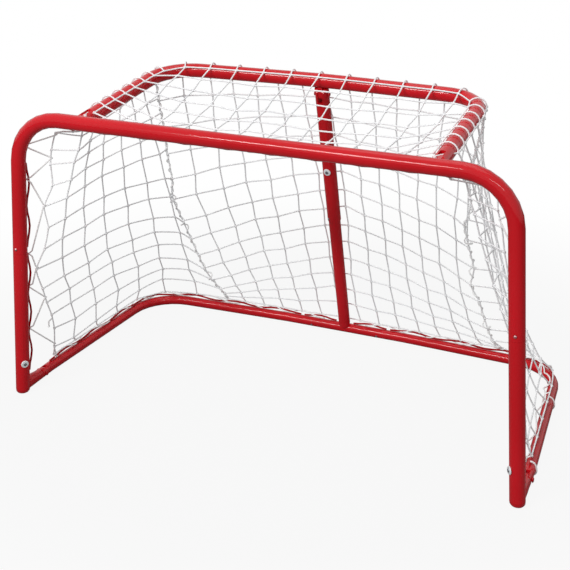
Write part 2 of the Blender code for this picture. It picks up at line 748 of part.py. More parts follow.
def base_up(point):
    """Straight up from the base tube, and up and back where the strut's foot is in the way."""
    turn = net_lean * max(0.0, 1 - abs(point.x) / 70.0)
    return Y * math.sin(turn) + Z * math.cos(turn)


half_line = {}
for sign in (-1, 1):
    path = rounded_path(base_corners(sign), [leg_bend_radius, base_corner_radius, arm_bend_radius], 12.0)
    half_line[sign] = Track(path + [tee_centre])


def inner_front(sign):
    """Toward the middle of the goal and back, square to the bow."""
    return lambda d: from_front(post_rod_angle)(d if sign < 0 else -d)


def bowed(first, last):
    """The seam between back and side panel: it sags forward and down between its ends."""
    sag = Vector((0, -seam_sag, -seam_drop))
    return Track([first.lerp(last, k / 40) + sag * (4 * k / 40 * (1 - k / 40)) for k in range(41)])


back_columns = 12
back_rows = 13
side_columns = 8
side_rows = 14
top_rows = 7
seams = {}
for name, sign in sides.items():
    bow = front_line if sign < 0 else Track(front_line.path[::-1])
    rods = Track(beside(bow, 0, bow.length / 2, 120, inner_front(sign), post_net_offset))
    stop = rods.find(lambda p: abs(p.x), top_leg_offset + top_net_offset)
    start = rods.find(lambda p: p.z, side_net_foot)
    rods = Track([rods.at(stop + (start - stop) * k / 60)[0] for k in range(61)])
    edge = []
    bow_stop = bow.find(lambda p: abs(p.x), top_leg_offset + top_net_offset)
    bow_start = bow.find(lambda p: p.z, side_net_foot)
    for k in range(61):
        point, direction = bow.at(bow_stop + (bow_start - bow_stop) * k / 60)
        stand_off = edge_stand_off_top + (edge_stand_off - edge_stand_off_top) * min(1.0, 2.2 * k / 60)
        edge.append(point + inner_front(sign)(direction) * stand_off)
    edge = Track(edge)
    leg = beside(top_line, frame_tube_radius * 2.6, corner_mark - seam_gap / 2, 40, top_outward, top_net_offset)
    if sign > 0:
        leg = [Vector((-p.x, p.y, p.z)) for p in leg]
    top = Track([edge.at(0)[0]] + leg)
    base = half_line[sign]
    rear_mark = base.find(lambda p: abs(p.x) if p.y > base_corner_depth * 0.8 else 1e6, back_panel_half_width)
    rise_mark = base.find(lambda p: p.y, foot_hinge_setback + base_leg_straight)
    run = [base.at(rise_mark + (rear_mark - seam_gap / 2 - rise_mark) * k / 60)[0] + Z * base_net_offset
           for k in range(61)]
    bottom = Track([edge.at(edge.length)[0]] + run)
    rear = bowed(top.at(top.length)[0], bottom.at(bottom.length)[0])
    grid = coons(top, bottom, edge, rear, side_rows, side_columns)
    half_grid = []
    for i in range(0, side_rows + 1, 2):
        row = [rods.at(rods.length * i / side_rows)[0]]
        for j in range(2, side_columns + 1, 2):
            u = j / side_columns
            v = i / side_rows
            sag = 16 * u * (1 - u) * v * (1 - v) * side_net_sag
            row.append(grid[i][j] + Vector((-sign * sag, 0, -sag)))
        half_grid.append(row)
    net_panel(f"{name}_side_net", half_grid, "white")

back_top = Track(beside(top_line, corner_mark + seam_gap / 2, top_line.length - corner_mark - seam_gap / 2, 60,
                        top_outward, top_net_offset))
marks = {}
for sign in (-1, 1):
    base = half_line[sign]
    marks[sign] = base.find(lambda p: abs(p.x) if p.y > base_corner_depth * 0.8 else 1e6,
                            back_panel_half_width) + seam_gap / 2
left_run = [half_line[-1].at(marks[-1] + (half_line[-1].length - marks[-1]) * k / 40)[0] for k in range(41)]
right_run = [half_line[1].at(marks[1] + (half_line[1].length - marks[1]) * k / 40)[0] for k in range(41)]
back_bottom = Track([p + base_up(p) * base_net_offset for p in left_run + right_run[-2::-1]])
grid = []
for i in range(back_rows + 1):
    v = i / back_rows
    row = []
    for j in range(back_columns + 1):
        u = j / back_columns
        sag = Vector((0, -seam_sag, -seam_drop)) * (4 * v * (1 - v) * abs(2 * u - 1))
        row.append(back_top.at(back_top.length * u)[0] * (1 - v) + back_bottom.at(back_bottom.length * u)[0] * v
                   + sag)
    grid.append(row)
net_panel("back_net", grid, "white")

# The top net lies on the crowns of the legs and of the rear bar, and hangs behind the crossbar's rod in front
crown = top_normal * top_net_crown
leg_start = frame_tube_radius * 1.6
left_crown = [p + crown for p in beside(top_line, leg_start, corner_mark, 60, top_outward, 0.0)]
rear_crown = [p + crown for p in beside(top_line, corner_mark, top_line.length - corner_mark, 60, top_outward, 0.0)]
leg_front = left_crown[0]
low_front = Vector((0, 0, crossbar_height)) + from_front(crossbar_rod_angle)(X) * post_net_offset
front_border = []
for k in range(61):
    x = leg_front.x * (1 - k / 30)
    climb = (abs(x) - top_net_climb_start) / (top_net_climb_end - top_net_climb_start)
    climb = min(max(climb, 0.0), 1.0)
    climb = climb * climb * (3 - 2 * climb)
    front_border.append(Vector((x, low_front.y + (leg_front.y - low_front.y) * climb,
                                low_front.z + (leg_front.z - low_front.z) * climb)))
left_track = Track([front_border[0]] + left_crown[1:])
right_track = Track([Vector((-p.x, p.y, p.z)) for p in left_track.path])
border = Track(front_border)
rear_border = Track(rear_crown)
grid = []
for i in range(top_rows + 1):
    v = i / top_rows
    row = []
    for j in range(back_columns + 1):
        u = j / back_columns
        across = border.at(border.length * u)[0] * (1 - v) + rear_border.at(rear_border.length * u)[0] * v
        down = left_track.at(left_track.length * v)[0] * (1 - u) + right_track.at(right_track.length * v)[0] * u
        corners = (border.path[0] * (1 - u) + border.path[-1] * u) * (1 - v)
        corners += (rear_border.path[0] * (1 - u) + rear_border.path[-1] * u) * v
        sag = 16 * u * (1 - u) * v * (1 - v) * top_net_sag
        row.append(across + down - corners - Z * sag)
    grid.append(row)
net_panel("top_net", grid, "white")

print("strut length", round(strut_length, 2), "post plane", round(post_plane, 4))
print("top bar middle", round(top_mid.y, 4), round(top_mid.z, 4))
for label, place in (("foot", foot_pivot), ("top", top_pivot), ("strut", strut_pivot)):
    print(label, "hinge", [round(v, 2) for v in place])
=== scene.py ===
# %% [markdown]
# # A folding street-hockey goal
# The tubes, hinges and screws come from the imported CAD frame, where every piece is already in its place.
# This script dresses them: red enamel for the steel, white cord for the net, a pale floor and soft light.
# The net is built again here from its cords and knots, because the CAD only holds plain lattices in its
# place.

# %% Load the frame
import math

import bpy
import numpy as np
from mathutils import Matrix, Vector


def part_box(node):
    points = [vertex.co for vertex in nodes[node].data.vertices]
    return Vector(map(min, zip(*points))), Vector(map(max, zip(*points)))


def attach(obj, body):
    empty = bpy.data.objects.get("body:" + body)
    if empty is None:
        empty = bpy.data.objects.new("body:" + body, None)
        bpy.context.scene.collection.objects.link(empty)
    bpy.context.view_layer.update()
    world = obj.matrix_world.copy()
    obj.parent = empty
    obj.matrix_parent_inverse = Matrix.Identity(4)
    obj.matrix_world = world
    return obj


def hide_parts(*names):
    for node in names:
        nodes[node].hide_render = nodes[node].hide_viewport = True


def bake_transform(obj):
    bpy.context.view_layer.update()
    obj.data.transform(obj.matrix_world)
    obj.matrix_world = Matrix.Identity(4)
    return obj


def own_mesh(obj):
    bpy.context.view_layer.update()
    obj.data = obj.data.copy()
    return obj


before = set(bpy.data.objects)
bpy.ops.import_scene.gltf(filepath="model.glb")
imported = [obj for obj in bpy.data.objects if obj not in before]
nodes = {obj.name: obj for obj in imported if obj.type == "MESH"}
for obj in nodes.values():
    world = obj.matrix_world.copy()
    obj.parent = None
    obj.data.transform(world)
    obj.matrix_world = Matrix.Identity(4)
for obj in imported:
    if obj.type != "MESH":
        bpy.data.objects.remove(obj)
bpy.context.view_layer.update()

# %% [markdown]
# The camera stands to the right of the goal and looks down on it a little. The photograph keeps its
# uprights parallel, as a shifted lens does, so the camera is pitched less than its height asks for and
# the lens is shifted down. The posts stand in one plane, a tube's radius behind the foremost point of the
# front bow.

# %% Camera
MM = 0.001
frame_radius = 12.7
camera_pitch = 19.14
camera_turn = 23.15
post_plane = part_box("front_bow")[0].y + frame_radius * MM
camera_data = bpy.data.cameras.new("goal_camera")
camera_data.sensor_width = 36.0
camera_data.lens = 71.543
camera_data.shift_y = -0.15
camera = bpy.data.objects.new("goal_camera", camera_data)
bpy.context.scene.collection.objects.link(camera)
bpy.context.scene.camera = camera
camera.location = (0.7122, -1.5089 + post_plane, 1.0130)
camera.rotation_euler = (math.radians(90 - camera_pitch), 0.0, math.radians(camera_turn))
print("camera looks down", camera_pitch, "degrees from", tuple(round(v, 2) for v in camera.location))

# %% [markdown]
# Every finish below is a small tree of shader nodes, and most trees need the same few steps: a new
# material, a sum or product, a smooth step from one value to another, a noise, a mix of two colours and a
# bump. Each step is written once here. A shader group is an effect that several materials share, with its
# own named sockets.

# %% Helpers for shader nodes


def new_material(name):
    """A material, its node tree and its Principled shader."""
    material = bpy.data.materials.new(name)
    material.use_nodes = True
    return material, material.node_tree, material.node_tree.nodes["Principled BSDF"]


def new_group(name, inputs, outputs):
    """An empty shader group with named sockets."""
    group = bpy.data.node_groups.new(name, "ShaderNodeTree")
    for label, kind, value in inputs:
        socket = group.interface.new_socket(label, in_out="INPUT", socket_type=kind)
        socket.default_value = value
    for label, kind in outputs:
        group.interface.new_socket(label, in_out="OUTPUT", socket_type=kind)
    start = group.nodes.new("NodeGroupInput")
    end = group.nodes.new("NodeGroupOutput")
    return group, start, end


def math_node(tree, operation, first, second=None):
    """A Math node; each argument is a socket or a number."""
    node = tree.nodes.new("ShaderNodeMath")
    node.operation = operation
    for slot, value in enumerate((first, second)):
        if isinstance(value, (int, float)):
            node.inputs[slot].default_value = value
        elif value is not None:
            tree.links.new(value, node.inputs[slot])
    return node.outputs[0]


def stepped(tree, value, low, high, out_low=0.0, out_high=1.0):
    """A smooth Map Range from low..high to out_low..out_high."""
    node = tree.nodes.new("ShaderNodeMapRange")
    node.interpolation_type = "SMOOTHSTEP"
    tree.links.new(value, node.inputs["Value"])
    node.inputs["From Min"].default_value = low
    node.inputs["From Max"].default_value = high
    node.inputs["To Min"].default_value = out_low
    node.inputs["To Max"].default_value = out_high
    return node.outputs["Result"]


def noise_node(tree, vector, scale, detail=3.0, roughness=0.55):
    """A Noise texture whose scale may be a socket or a number."""
    node = tree.nodes.new("ShaderNodeTexNoise")
    node.inputs["Detail"].default_value = detail
    node.inputs["Roughness"].default_value = roughness
    tree.links.new(vector, node.inputs["Vector"])
    if isinstance(scale, (int, float)):
        node.inputs["Scale"].default_value = scale
    else:
        tree.links.new(scale, node.inputs["Scale"])
    return node.outputs["Fac"]


def mixed_colour(tree, mask, first, second, target):
    """Feeds a socket with the first colour where the mask is 0 and the second where it is 1."""
    mix = tree.nodes.new("ShaderNodeMix")
    mix.data_type = "RGBA"
    mix.inputs["A"].default_value = (*first, 1.0)
    mix.inputs["B"].default_value = (*second, 1.0)
    tree.links.new(mask, mix.inputs["Factor"])
    tree.links.new(mix.outputs["Result"], target)


def bump(tree, height, strength, distance, shader):
    """Bends the shader's normal as if the height were real relief."""
    relief = tree.nodes.new("ShaderNodeBump")
    relief.inputs["Strength"].default_value = strength
    relief.inputs["Distance"].default_value = distance
    tree.links.new(height, relief.inputs["Height"])
    tree.links.new(relief.outputs["Normal"], shader.inputs["Normal"])


print("shader helpers ready, start with", len(bpy.data.materials), "materials")

# %% [markdown]
# The photograph's background is plain white. The world is a soft fill light, and for the camera, glass
# and mirror rays it is swapped for pure white through Light Path, so the white adds no light to the
# object.

# %% White room
scene = bpy.context.scene
scene.view_settings.view_transform = "Standard"
world = bpy.data.worlds.new("pale_room")
scene.world = world
world.use_nodes = True
tree = world.node_tree
tree.nodes.clear()
out = tree.nodes.new("ShaderNodeOutputWorld")
path = tree.nodes.new("ShaderNodeLightPath")
light = tree.nodes.new("ShaderNodeBackground")
light.inputs["Color"].default_value = (1.0, 1.0, 1.0, 1.0)
light.inputs["Strength"].default_value = 0.27
backdrop = tree.nodes.new("ShaderNodeBackground")
backdrop.inputs["Color"].default_value = (1.0, 1.0, 1.0, 1.0)
backdrop.inputs["Strength"].default_value = 1.0
seen = math_node(tree, "MAXIMUM", path.outputs["Is Camera Ray"], path.outputs["Is Transmission Ray"])
seen_or_mirrored = math_node(tree, "MAXIMUM", seen, path.outputs["Is Glossy Ray"])
pick = tree.nodes.new("ShaderNodeMixShader")
tree.links.new(seen_or_mirrored, pick.inputs["Fac"])
tree.links.new(light.outputs["Background"], pick.inputs[1])
tree.links.new(backdrop.outputs["Background"], pick.inputs[2])
tree.links.new(pick.outputs["Shader"], out.inputs["Surface"])
print("fill light strength:", round(light.inputs["Strength"].default_value, 2))

# %% [markdown]
# Glossy tubes are drawn by the lamps that they mirror. A bright strip in front and above gives the long
# pale line on the crossbar and the posts, a wide softbox overhead gives the even light, and a thin strip
# on the right gives the streak on the bend of the right post.

# %% Lamps


def area_lamp(name, place, target, size, watts):
    """A soft rectangular lamp that looks at a point."""
    data = bpy.data.lights.new(name, "AREA")
    data.shape = "RECTANGLE"
    data.size = size[0]
    data.size_y = size[1]
    data.energy = watts
    lamp = bpy.data.objects.new(name, data)
    lamp.location = place
    lamp.rotation_euler = (Vector(target) - Vector(place)).to_track_quat("-Z", "Y").to_euler()
    scene.collection.objects.link(lamp)


area_lamp("key_strip", place=(-0.95, -2.75, 2.3), target=(0.0, -0.1, 0.4), size=(1.35, 0.42), watts=65.0)
area_lamp("top_softbox", place=(0.2, 0.2, 2.6), target=(0.0, 0.0, 0.3), size=(2.2, 1.2), watts=14.0)
area_lamp("corner_glint", place=(1.55, -1.85, 1.95), target=(0.42, -0.23, 0.5), size=(1.2, 0.2), watts=9.0)

# %% [markdown]
# The floor holds the goal's soft shadow and fades into the white room. Its paint is a mid grey that
# throws little light back up. What the camera sees is mostly plain white, a little less of it near the
# goal, so that the shadow still shows. The floor lies a hair below the feet, so that the two surfaces
# never flicker.

# %% Pale floor
floor_reach = 9
floor_grey = 0.32
floor_drop = 0.0006
floor_mesh = bpy.data.meshes.new("studio_floor")
floor_corners = [(x * floor_reach, y * floor_reach, 0) for x, y in ((-1, -1), (1, -1), (1, 1), (-1, 1))]
floor_mesh.from_pydata(floor_corners, [], [(0, 1, 2, 3)])
studio_floor = bpy.data.objects.new("studio_floor", floor_mesh)
studio_floor.location.z = -floor_drop
scene.collection.objects.link(studio_floor)
floor_paint, tree, shader = new_material("pale_floor")
shader.inputs["Base Color"].default_value = (floor_grey, floor_grey, floor_grey, 1.0)
shader.inputs["Roughness"].default_value = 0.9
shader.inputs["Specular IOR Level"].default_value = 0.05
white = tree.nodes.new("ShaderNodeEmission")
white.inputs["Strength"].default_value = 1.0
path = tree.nodes.new("ShaderNodeLightPath")
distance = tree.nodes.new("ShaderNodeVectorMath")
distance.operation = "LENGTH"
tree.links.new(tree.nodes.new("ShaderNodeTexCoord").outputs["Object"], distance.inputs[0])
fade = stepped(tree, distance.outputs["Value"], low=0.45, high=1.3, out_low=0.91, out_high=1.0)
blend = tree.nodes.new("ShaderNodeMixShader")
tree.links.new(math_node(tree, "MULTIPLY", fade, path.outputs["Is Camera Ray"]), blend.inputs["Fac"])
tree.links.new(shader.outputs["BSDF"], blend.inputs[1])
tree.links.new(white.outputs["Emission"], blend.inputs[2])
tree.links.new(blend.outputs["Shader"], tree.nodes["Material Output"].inputs["Surface"])
floor_mesh.materials.append(floor_paint)
print("floor reaches", floor_reach, "m each way")

# %% [markdown]
# Glossy enamel on steel tube is not one flat red: it has a faint orange-peel ripple, a slow drift between
# two reds and tiny scuffs that dull the gloss. All three come out of one shader group, because the tubes
# and the wavy rods both use it, each with its own scale.

# %% Enamel surface group
enamel, start, end = new_group(
    "enamel_surface",
    [("Ripple Scale", "NodeSocketFloat", 220.0), ("Scuff Amount", "NodeSocketFloat", 0.15)],
    [("Ripple", "NodeSocketFloat"), ("Scuff", "NodeSocketFloat"), ("Shade", "NodeSocketFloat")])
place = enamel.nodes.new("ShaderNodeTexCoord").outputs["Object"]
ripple = noise_node(enamel, place, start.outputs["Ripple Scale"], detail=2.0)
patches = stepped(enamel, noise_node(enamel, place, scale=14.0, detail=4.0), low=0.52, high=0.70)
speck_noise = noise_node(enamel, place, scale=160.0, roughness=0.7)
specks = stepped(enamel, speck_noise, low=0.50, high=0.62)
scuffed = math_node(enamel, "MULTIPLY", patches, specks)
scuffed = math_node(enamel, "MULTIPLY", scuffed, start.outputs["Scuff Amount"])
drift = stepped(enamel, noise_node(enamel, place, scale=5.0, detail=2.0), low=0.35, high=0.65)
enamel.links.new(ripple, end.inputs["Ripple"])
enamel.links.new(scuffed, end.inputs["Scuff"])
enamel.links.new(drift, end.inputs["Shade"])
print("enamel group nodes:", len(enamel.nodes))

# %% [markdown]
# The enamel material itself is a Principled shader. The group only varies its colour, its roughness and
# its bump. The rods are dipped, so they are a little duller and darker than the tubes.

# %% Enamel materials


def enamel_material(name, dark, bright, roughness, gloss, ripple_scale, relief):
    """Glossy red enamel: colour drifts between two reds, scuffs raise the roughness."""
    material, tree, shader = new_material(name)
    shader.inputs["Specular IOR Level"].default_value = gloss
    surface = tree.nodes.new("ShaderNodeGroup")
    surface.node_tree = enamel
    surface.inputs["Ripple Scale"].default_value = ripple_scale
    mixed_colour(tree, surface.outputs["Shade"], dark, bright, shader.inputs["Base Color"])
    scuff = math_node(tree, "MULTIPLY", surface.outputs["Scuff"], 0.5)
    tree.links.new(math_node(tree, "ADD", scuff, roughness), shader.inputs["Roughness"])
    bump(tree, surface.outputs["Ripple"], strength=relief, distance=0.0004, shader=shader)
    return material


tube_enamel = enamel_material("tube_enamel", dark=(0.59, 0.007, 0.013), bright=(0.65, 0.009, 0.017),
                              roughness=0.13, gloss=0.24, ripple_scale=220.0, relief=0.02)
rod_enamel = enamel_material("rod_enamel", dark=(0.40, 0.006, 0.010), bright=(0.46, 0.008, 0.013),
                             roughness=0.30, gloss=0.10, ripple_scale=500.0, relief=0.08)
print("enamel materials:", tube_enamel.name, rod_enamel.name)

# %% [markdown]
# The springs, screws and snap buttons are zinc-plated steel: metallic, with a fine grain that changes the
# gloss from spot to spot. The screws have darkened, and the buttons are tinted red as a painted reflection
# of the red enamel round them.

# %% Plated steel
plated, tree, shader = new_material("zinc_plate")
shader.inputs["Base Color"].default_value = (0.62, 0.64, 0.68, 1.0)
shader.inputs["Metallic"].default_value = 1.0
place = tree.nodes.new("ShaderNodeTexCoord").outputs["Object"]
grain = noise_node(tree, place, scale=900.0)
grain_roughness = stepped(tree, grain, low=0.3, high=0.7, out_low=0.22, out_high=0.42)
tree.links.new(grain_roughness, shader.inputs["Roughness"])
bump(tree, grain, strength=0.15, distance=0.0002, shader=shader)


def plated_in(name, colour):
    """The plated steel again in another colour."""
    material = plated.copy()
    material.name = name
    material.node_tree.nodes["Principled BSDF"].inputs["Base Color"].default_value = (*colour, 1.0)
    return material


screw_steel = plated_in("screw_steel", (0.30, 0.31, 0.34))
# painted reflection: the buttons' red tint stands for the red enamel that they mirror
button_red_reflection = plated_in("button_red_reflection", (0.62, 0.30, 0.31))
print("steel materials:", plated.name, screw_steel.name, button_red_reflection.name)

# %% [markdown]
# The washers are moulded white plastic with a soft sheen and a hint of grime in patches.

# %% Washer plastic
washer_white, tree, shader = new_material("washer_plastic")
shader.inputs["Roughness"].default_value = 0.38
place = tree.nodes.new("ShaderNodeTexCoord").outputs["Object"]
grime = stepped(tree, noise_node(tree, place, scale=240.0, detail=4.0), low=0.55, high=0.75)
clean_white, grimy_white = (0.84, 0.86, 0.88), (0.70, 0.71, 0.72)
mixed_colour(tree, grime, clean_white, grimy_white, shader.inputs["Base Color"])
print("washer material:", washer_white.name)

# %% [markdown]
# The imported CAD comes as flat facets. A small geometry-nodes modifier shades round tube as round: it
# joins the facets' corners, forgets their flat normals and keeps only edges over 35 degrees sharp. The
# shape stays.

# %% Round shading for the tubes
sharp_from = math.radians(35)
same_corner = 1e-5
rounding = bpy.data.node_groups.new("round_shading", "GeometryNodeTree")
rounding.interface.new_socket("Geometry", in_out="INPUT", socket_type="NodeSocketGeometry")
rounding.interface.new_socket("Geometry", in_out="OUTPUT", socket_type="NodeSocketGeometry")
source = rounding.nodes.new("NodeGroupInput")
result = rounding.nodes.new("NodeGroupOutput")
joined = rounding.nodes.new("GeometryNodeMergeByDistance")
joined.inputs["Distance"].default_value = same_corner
angle = rounding.nodes.new("GeometryNodeInputMeshEdgeAngle")
sharp = rounding.nodes.new("FunctionNodeCompare")
sharp.operation = "GREATER_THAN"
sharp.inputs["B"].default_value = sharp_from
shading = rounding.nodes.new("GeometryNodeSetMeshNormal")
shading.mode = "SHARPNESS"
shading.inputs["Remove Custom"].default_value = True
rounding.links.new(source.outputs["Geometry"], joined.inputs["Geometry"])
rounding.links.new(joined.outputs["Geometry"], shading.inputs["Mesh"])
rounding.links.new(angle.outputs["Unsigned Angle"], sharp.inputs["A"])
rounding.links.new(sharp.outputs["Result"], shading.inputs["Edge Sharpness"])
rounding.links.new(shading.outputs["Mesh"], result.inputs["Geometry"])
print("round shading nodes:", len(rounding.nodes))

# %% [markdown]
# Every CAD node that keeps its own shape now gets its finish. The name says what it is: washers are
# white, screws, buttons and springs are plated, rods are dipped, and everything else is enamelled tube.

# %% Dress the frame
net_nodes = ["back_net", "top_net", "left_side_net", "right_side_net"]
finishes = {"washer": washer_white, "screw": screw_steel, "button": button_red_reflection, "spring": plated,
            "rod": rod_enamel}
for name, node in nodes.items():
    if name in net_nodes:
        continue
    finish = tube_enamel
    for ending, small_finish in finishes.items():
        if name.endswith(ending):
            finish = small_finish
    node.data.materials.clear()
    node.data.materials.append(finish)
    node.modifiers.new("round_shading", "NODES").node_group = rounding
print("dressed", len(nodes) - len(net_nodes), "nodes")

# %% [markdown]
# The net follows the tubes, so their centre lines come first. Bent tube is straight runs and round
# corners, which is what rounded_line gives. All lengths in the net cells are millimetres, as on a
# drawing, and are turned into Blender's metres only when a mesh is made. The middle of the goal is at x
# 0, the posts' plane at y 0.

# %% Paths of tube
Y, Z = Vector((0, 1, 0)), Vector((0, 0, 1))
search_steps = 2000


def rounded_line(corners, radii, step_angle=8.0, longest_step=40):
    """Straight runs joined by arcs of the given radii."""
    line = [corners[0]]
    for before, corner, after, radius in zip(corners, corners[1:], corners[2:], radii):
        a = (before - corner).normalized()
        b = (after - corner).normalized()
        turn = math.pi - a.angle(b)
        first = corner + a * radius * math.tan(turn / 2)
        last = corner + b * radius * math.tan(turn / 2)
        centre = corner + (a + b).normalized() * (radius / math.cos(turn / 2))
        steps = max(2, round(math.degrees(turn) / step_angle), round(radius * turn / longest_step))
        for k in range(steps + 1):
            t = k / steps
            arm = (first - centre) * math.sin((1 - t) * turn) + (last - centre) * math.sin(t * turn)
            line.append(centre + arm / math.sin(turn))
    return line + [corners[-1]]


class Line:
    """A path that gives its point and direction at any distance along it."""

    def __init__(self, points):
        self.points = [Vector(p) for p in points]
        lengths = [(b - a).length for a, b in zip(points, points[1:])]
        self.marks = np.concatenate([[0.0], np.cumsum(lengths)])
        self.length = float(self.marks[-1])

    def at(self, distance):
        """The point at a distance, and the direction there."""
        distance = min(max(distance, 0.0), self.length)
        k = min(int(np.searchsorted(self.marks, distance, side="right")) - 1, len(self.points) - 2)
        a, b = self.points[k], self.points[k + 1]
        t = (distance - self.marks[k]) / (self.marks[k + 1] - self.marks[k])
        return a.lerp(b, t), (b - a).normalized()

    def spread(self, count, start=0.0, stop=None):
        """Evenly spread points and directions from start to stop."""
        stop = self.length if stop is None else stop
        return [self.at(start + (stop - start) * k / (count - 1)) for k in range(count)]

    def find(self, test):
        """First distance at which the test on the point holds."""
        for k in range(search_steps + 1):
            if test(self.at(self.length * k / search_steps)[0]):
                return self.length * k / search_steps
        return self.length


square_bend = Line(rounded_line([Z * 0, Z * 20, Z * 20 + Y * 20], [10]))
print("a square bend of 10 mm between 20 mm legs is", round(square_bend.length, 1), "mm long")

# %% [markdown]
# The goal has three bent tubes. The front bow is drawn here from the left foot to the middle of the
# crossbar, the base from its left end to the tee in the middle, and the top frame as one U with legs that
# rise a little.

# %% Centre lines of the tubes
base_radius = 9.5
crossbar_height = 525.0
foot_offset = 455.0
post_top_offset = 418.5
bow_corner_radius = 83.5
base_depth = 468.0
base_start, base_leg_bend = 53.5, 88
base_corner_offset, base_corner_depth = 433.5, 454.7
base_arm_bend = -125
base_corner_radius, base_arm_radius = 88.5, 250.0
top_hinge_setback = 26.5
top_rise = math.radians(5.96)
top_leg_offset, top_leg_bend = 301.5, 26
top_corner_offset, top_corner_depth = 299, 281.8
top_bar_depth = 294.14
top_corner_radius, top_bar_radius = 70.7, 1080.0
leg_bend_radius = 120.0


def mirrored(p):
    """The same place on the other side of the goal."""
    return Vector((-p.x, p.y, p.z))


def top_point(x, depth):
    """A point in the sloping plane of the top frame."""
    height = crossbar_height + depth * math.sin(top_rise)
    return Vector((x, top_hinge_setback + depth * math.cos(top_rise), height))


bow_corners = [Vector((-foot_offset, 0, 0)), Vector((-post_top_offset, 0, crossbar_height)),
               Vector((0, 0, crossbar_height))]
base_ways = [(-foot_offset, base_start), (-foot_offset, base_leg_bend),
             (-base_corner_offset, base_corner_depth), (base_arm_bend, base_depth), (0, base_depth)]
base_corners = [Vector((x, y, base_radius)) for x, y in base_ways]
left_u = [top_point(-top_leg_offset, -frame_radius), top_point(-top_leg_offset, top_leg_bend),
          top_point(-top_corner_offset, top_corner_depth)]
u_corners = left_u + [top_point(0, top_bar_depth)] + [mirrored(p) for p in reversed(left_u)]
bow_line = Line(rounded_line(bow_corners, [bow_corner_radius]))
base_line = Line(rounded_line(base_corners, [leg_bend_radius, base_corner_radius, base_arm_radius]))
u_radii = [leg_bend_radius, top_corner_radius, top_bar_radius, top_corner_radius, leg_bend_radius]
u_line = Line(rounded_line(u_corners, u_radii))
top_normal = Vector((0, -math.sin(top_rise), math.cos(top_rise)))
print("top frame line", round(u_line.length), "mm, base half", round(base_line.length), "mm")

# %% [markdown]
# The strut runs from the tee in the middle of the base up to the middle of the top frame's rear bar. The
# back net hangs behind it, so the net needs the strut's foot and the direction that points away behind
# it.

# %% Strut
tee_centre = Vector((0, base_depth, base_radius))
top_mid = u_line.at(u_line.length / 2)[0]
strut_up = (top_mid - tee_centre).normalized()
strut_rear = Vector((0, strut_up.z, -strut_up.y))
print("strut line", round((top_mid - tee_centre).length), "mm")

# %% [markdown]
# The net's borders lie on the steel. These helpers give the places where they touch it: beside the left
# post, round the top frame's tubes and on top of the base. All are left-hand places, and the right side
# mirrors them.

# %% Places beside the tubes
tube_stand_off = 15.6
base_stand_off = 19.6
inner_side = math.radians(50)
outer_side = math.radians(-90)
leg_start = frame_radius * 1.6
seam_before_corner = 42.0
foot_tie_depth = 100
rear_run_depth = 364
left_foot_x, right_foot_x = -263, -326
post_foot = Vector((-foot_offset, 0, 0))
post_way = (Vector((-post_top_offset, 0, crossbar_height)) - post_foot).normalized()
corner_mark = u_line.find(lambda p: p.y > top_point(0, top_corner_depth - seam_before_corner).y)
foot_mark = base_line.find(lambda p: p.y > foot_tie_depth)


def by_post(along, stand, degrees):
    """A point beside the left post; the angle turns from inward to rearward."""
    turn = math.radians(degrees)
    away = Y.cross(post_way).normalized() * math.cos(turn) + Y * math.sin(turn)
    return post_foot + post_way * along + away * stand


def round_tube(p, d, angle):
    """A point on a cord that lies on the top frame; 0 is the crown and positive angles turn inward."""
    return p + (top_normal * math.cos(angle) - top_normal.cross(d) * math.sin(angle)) * tube_stand_off


def under_bar(x, tilt, stand):
    """A point below the crossbar; the tilt turns from straight down to rearward."""
    return Vector((x, math.sin(tilt) * stand, crossbar_height - math.cos(tilt) * stand))


def seam_mark(foot_x):
    """How far along the base tube a seam's foot stands, from its place across the goal."""
    return base_line.find(lambda p: p.y > rear_run_depth and p.x > foot_x)


seam_marks = [round(seam_mark(x)) for x in (left_foot_x, right_foot_x)]
print("seams stand at", seam_marks, "mm along the base")

# %% [markdown]
# A goal net is knotted by machine into square meshes of about 42 mm. This one is cut as a long strip that
# runs from the crossbar over the rear bar and down to the base, and two side panels that are laced to the
# strip. Each panel starts as a grid between its four borders, which a Coons patch fills in.

# %% Grids between borders
back_rows, back_columns = 14, 14
top_rows, top_columns = 7, 12
side_rows, side_columns = 14, 7


def as_array(line):
    """The points of a line as rows of numbers."""
    return np.array([tuple(p) for p in line], float)


def grid_between(top, bottom, front, rear):
    """Coons patch: rows run from top to bottom, columns from front to rear."""
    top, bottom, front, rear = (as_array(line) for line in (top, bottom, front, rear))
    v = np.linspace(0, 1, len(front))[:, None, None]
    u = np.linspace(0, 1, len(top))[None, :, None]
    across = top[None] * (1 - v) + bottom[None] * v
    down = front[:, None] * (1 - u) + rear[:, None] * u
    corners = (top[0] * (1 - u) + top[-1] * u) * (1 - v) + (bottom[0] * (1 - u) + bottom[-1] * u) * v
    return across + down - corners


def bulge(rows, columns):
    """0 at the borders and 1 in the middle of a panel."""
    v = np.linspace(0, 1, rows + 1)[:, None]
    u = np.linspace(0, 1, columns + 1)[None, :]
    return (16 * u * (1 - u) * v * (1 - v))[..., None]


print("meshes:", top_rows * top_columns + back_rows * back_columns + 2 * side_rows * side_columns)

# %% [markdown]
# The photograph shows where the rows end on the loose borders. A side panel's front edge is drawn to the
# post in scallops: each row ends at a height, at a distance from the post's centre line and at an angle
# round it. The two seams between the side panels and the strip run low and wavy, and the rows meet them
# at uneven shares.

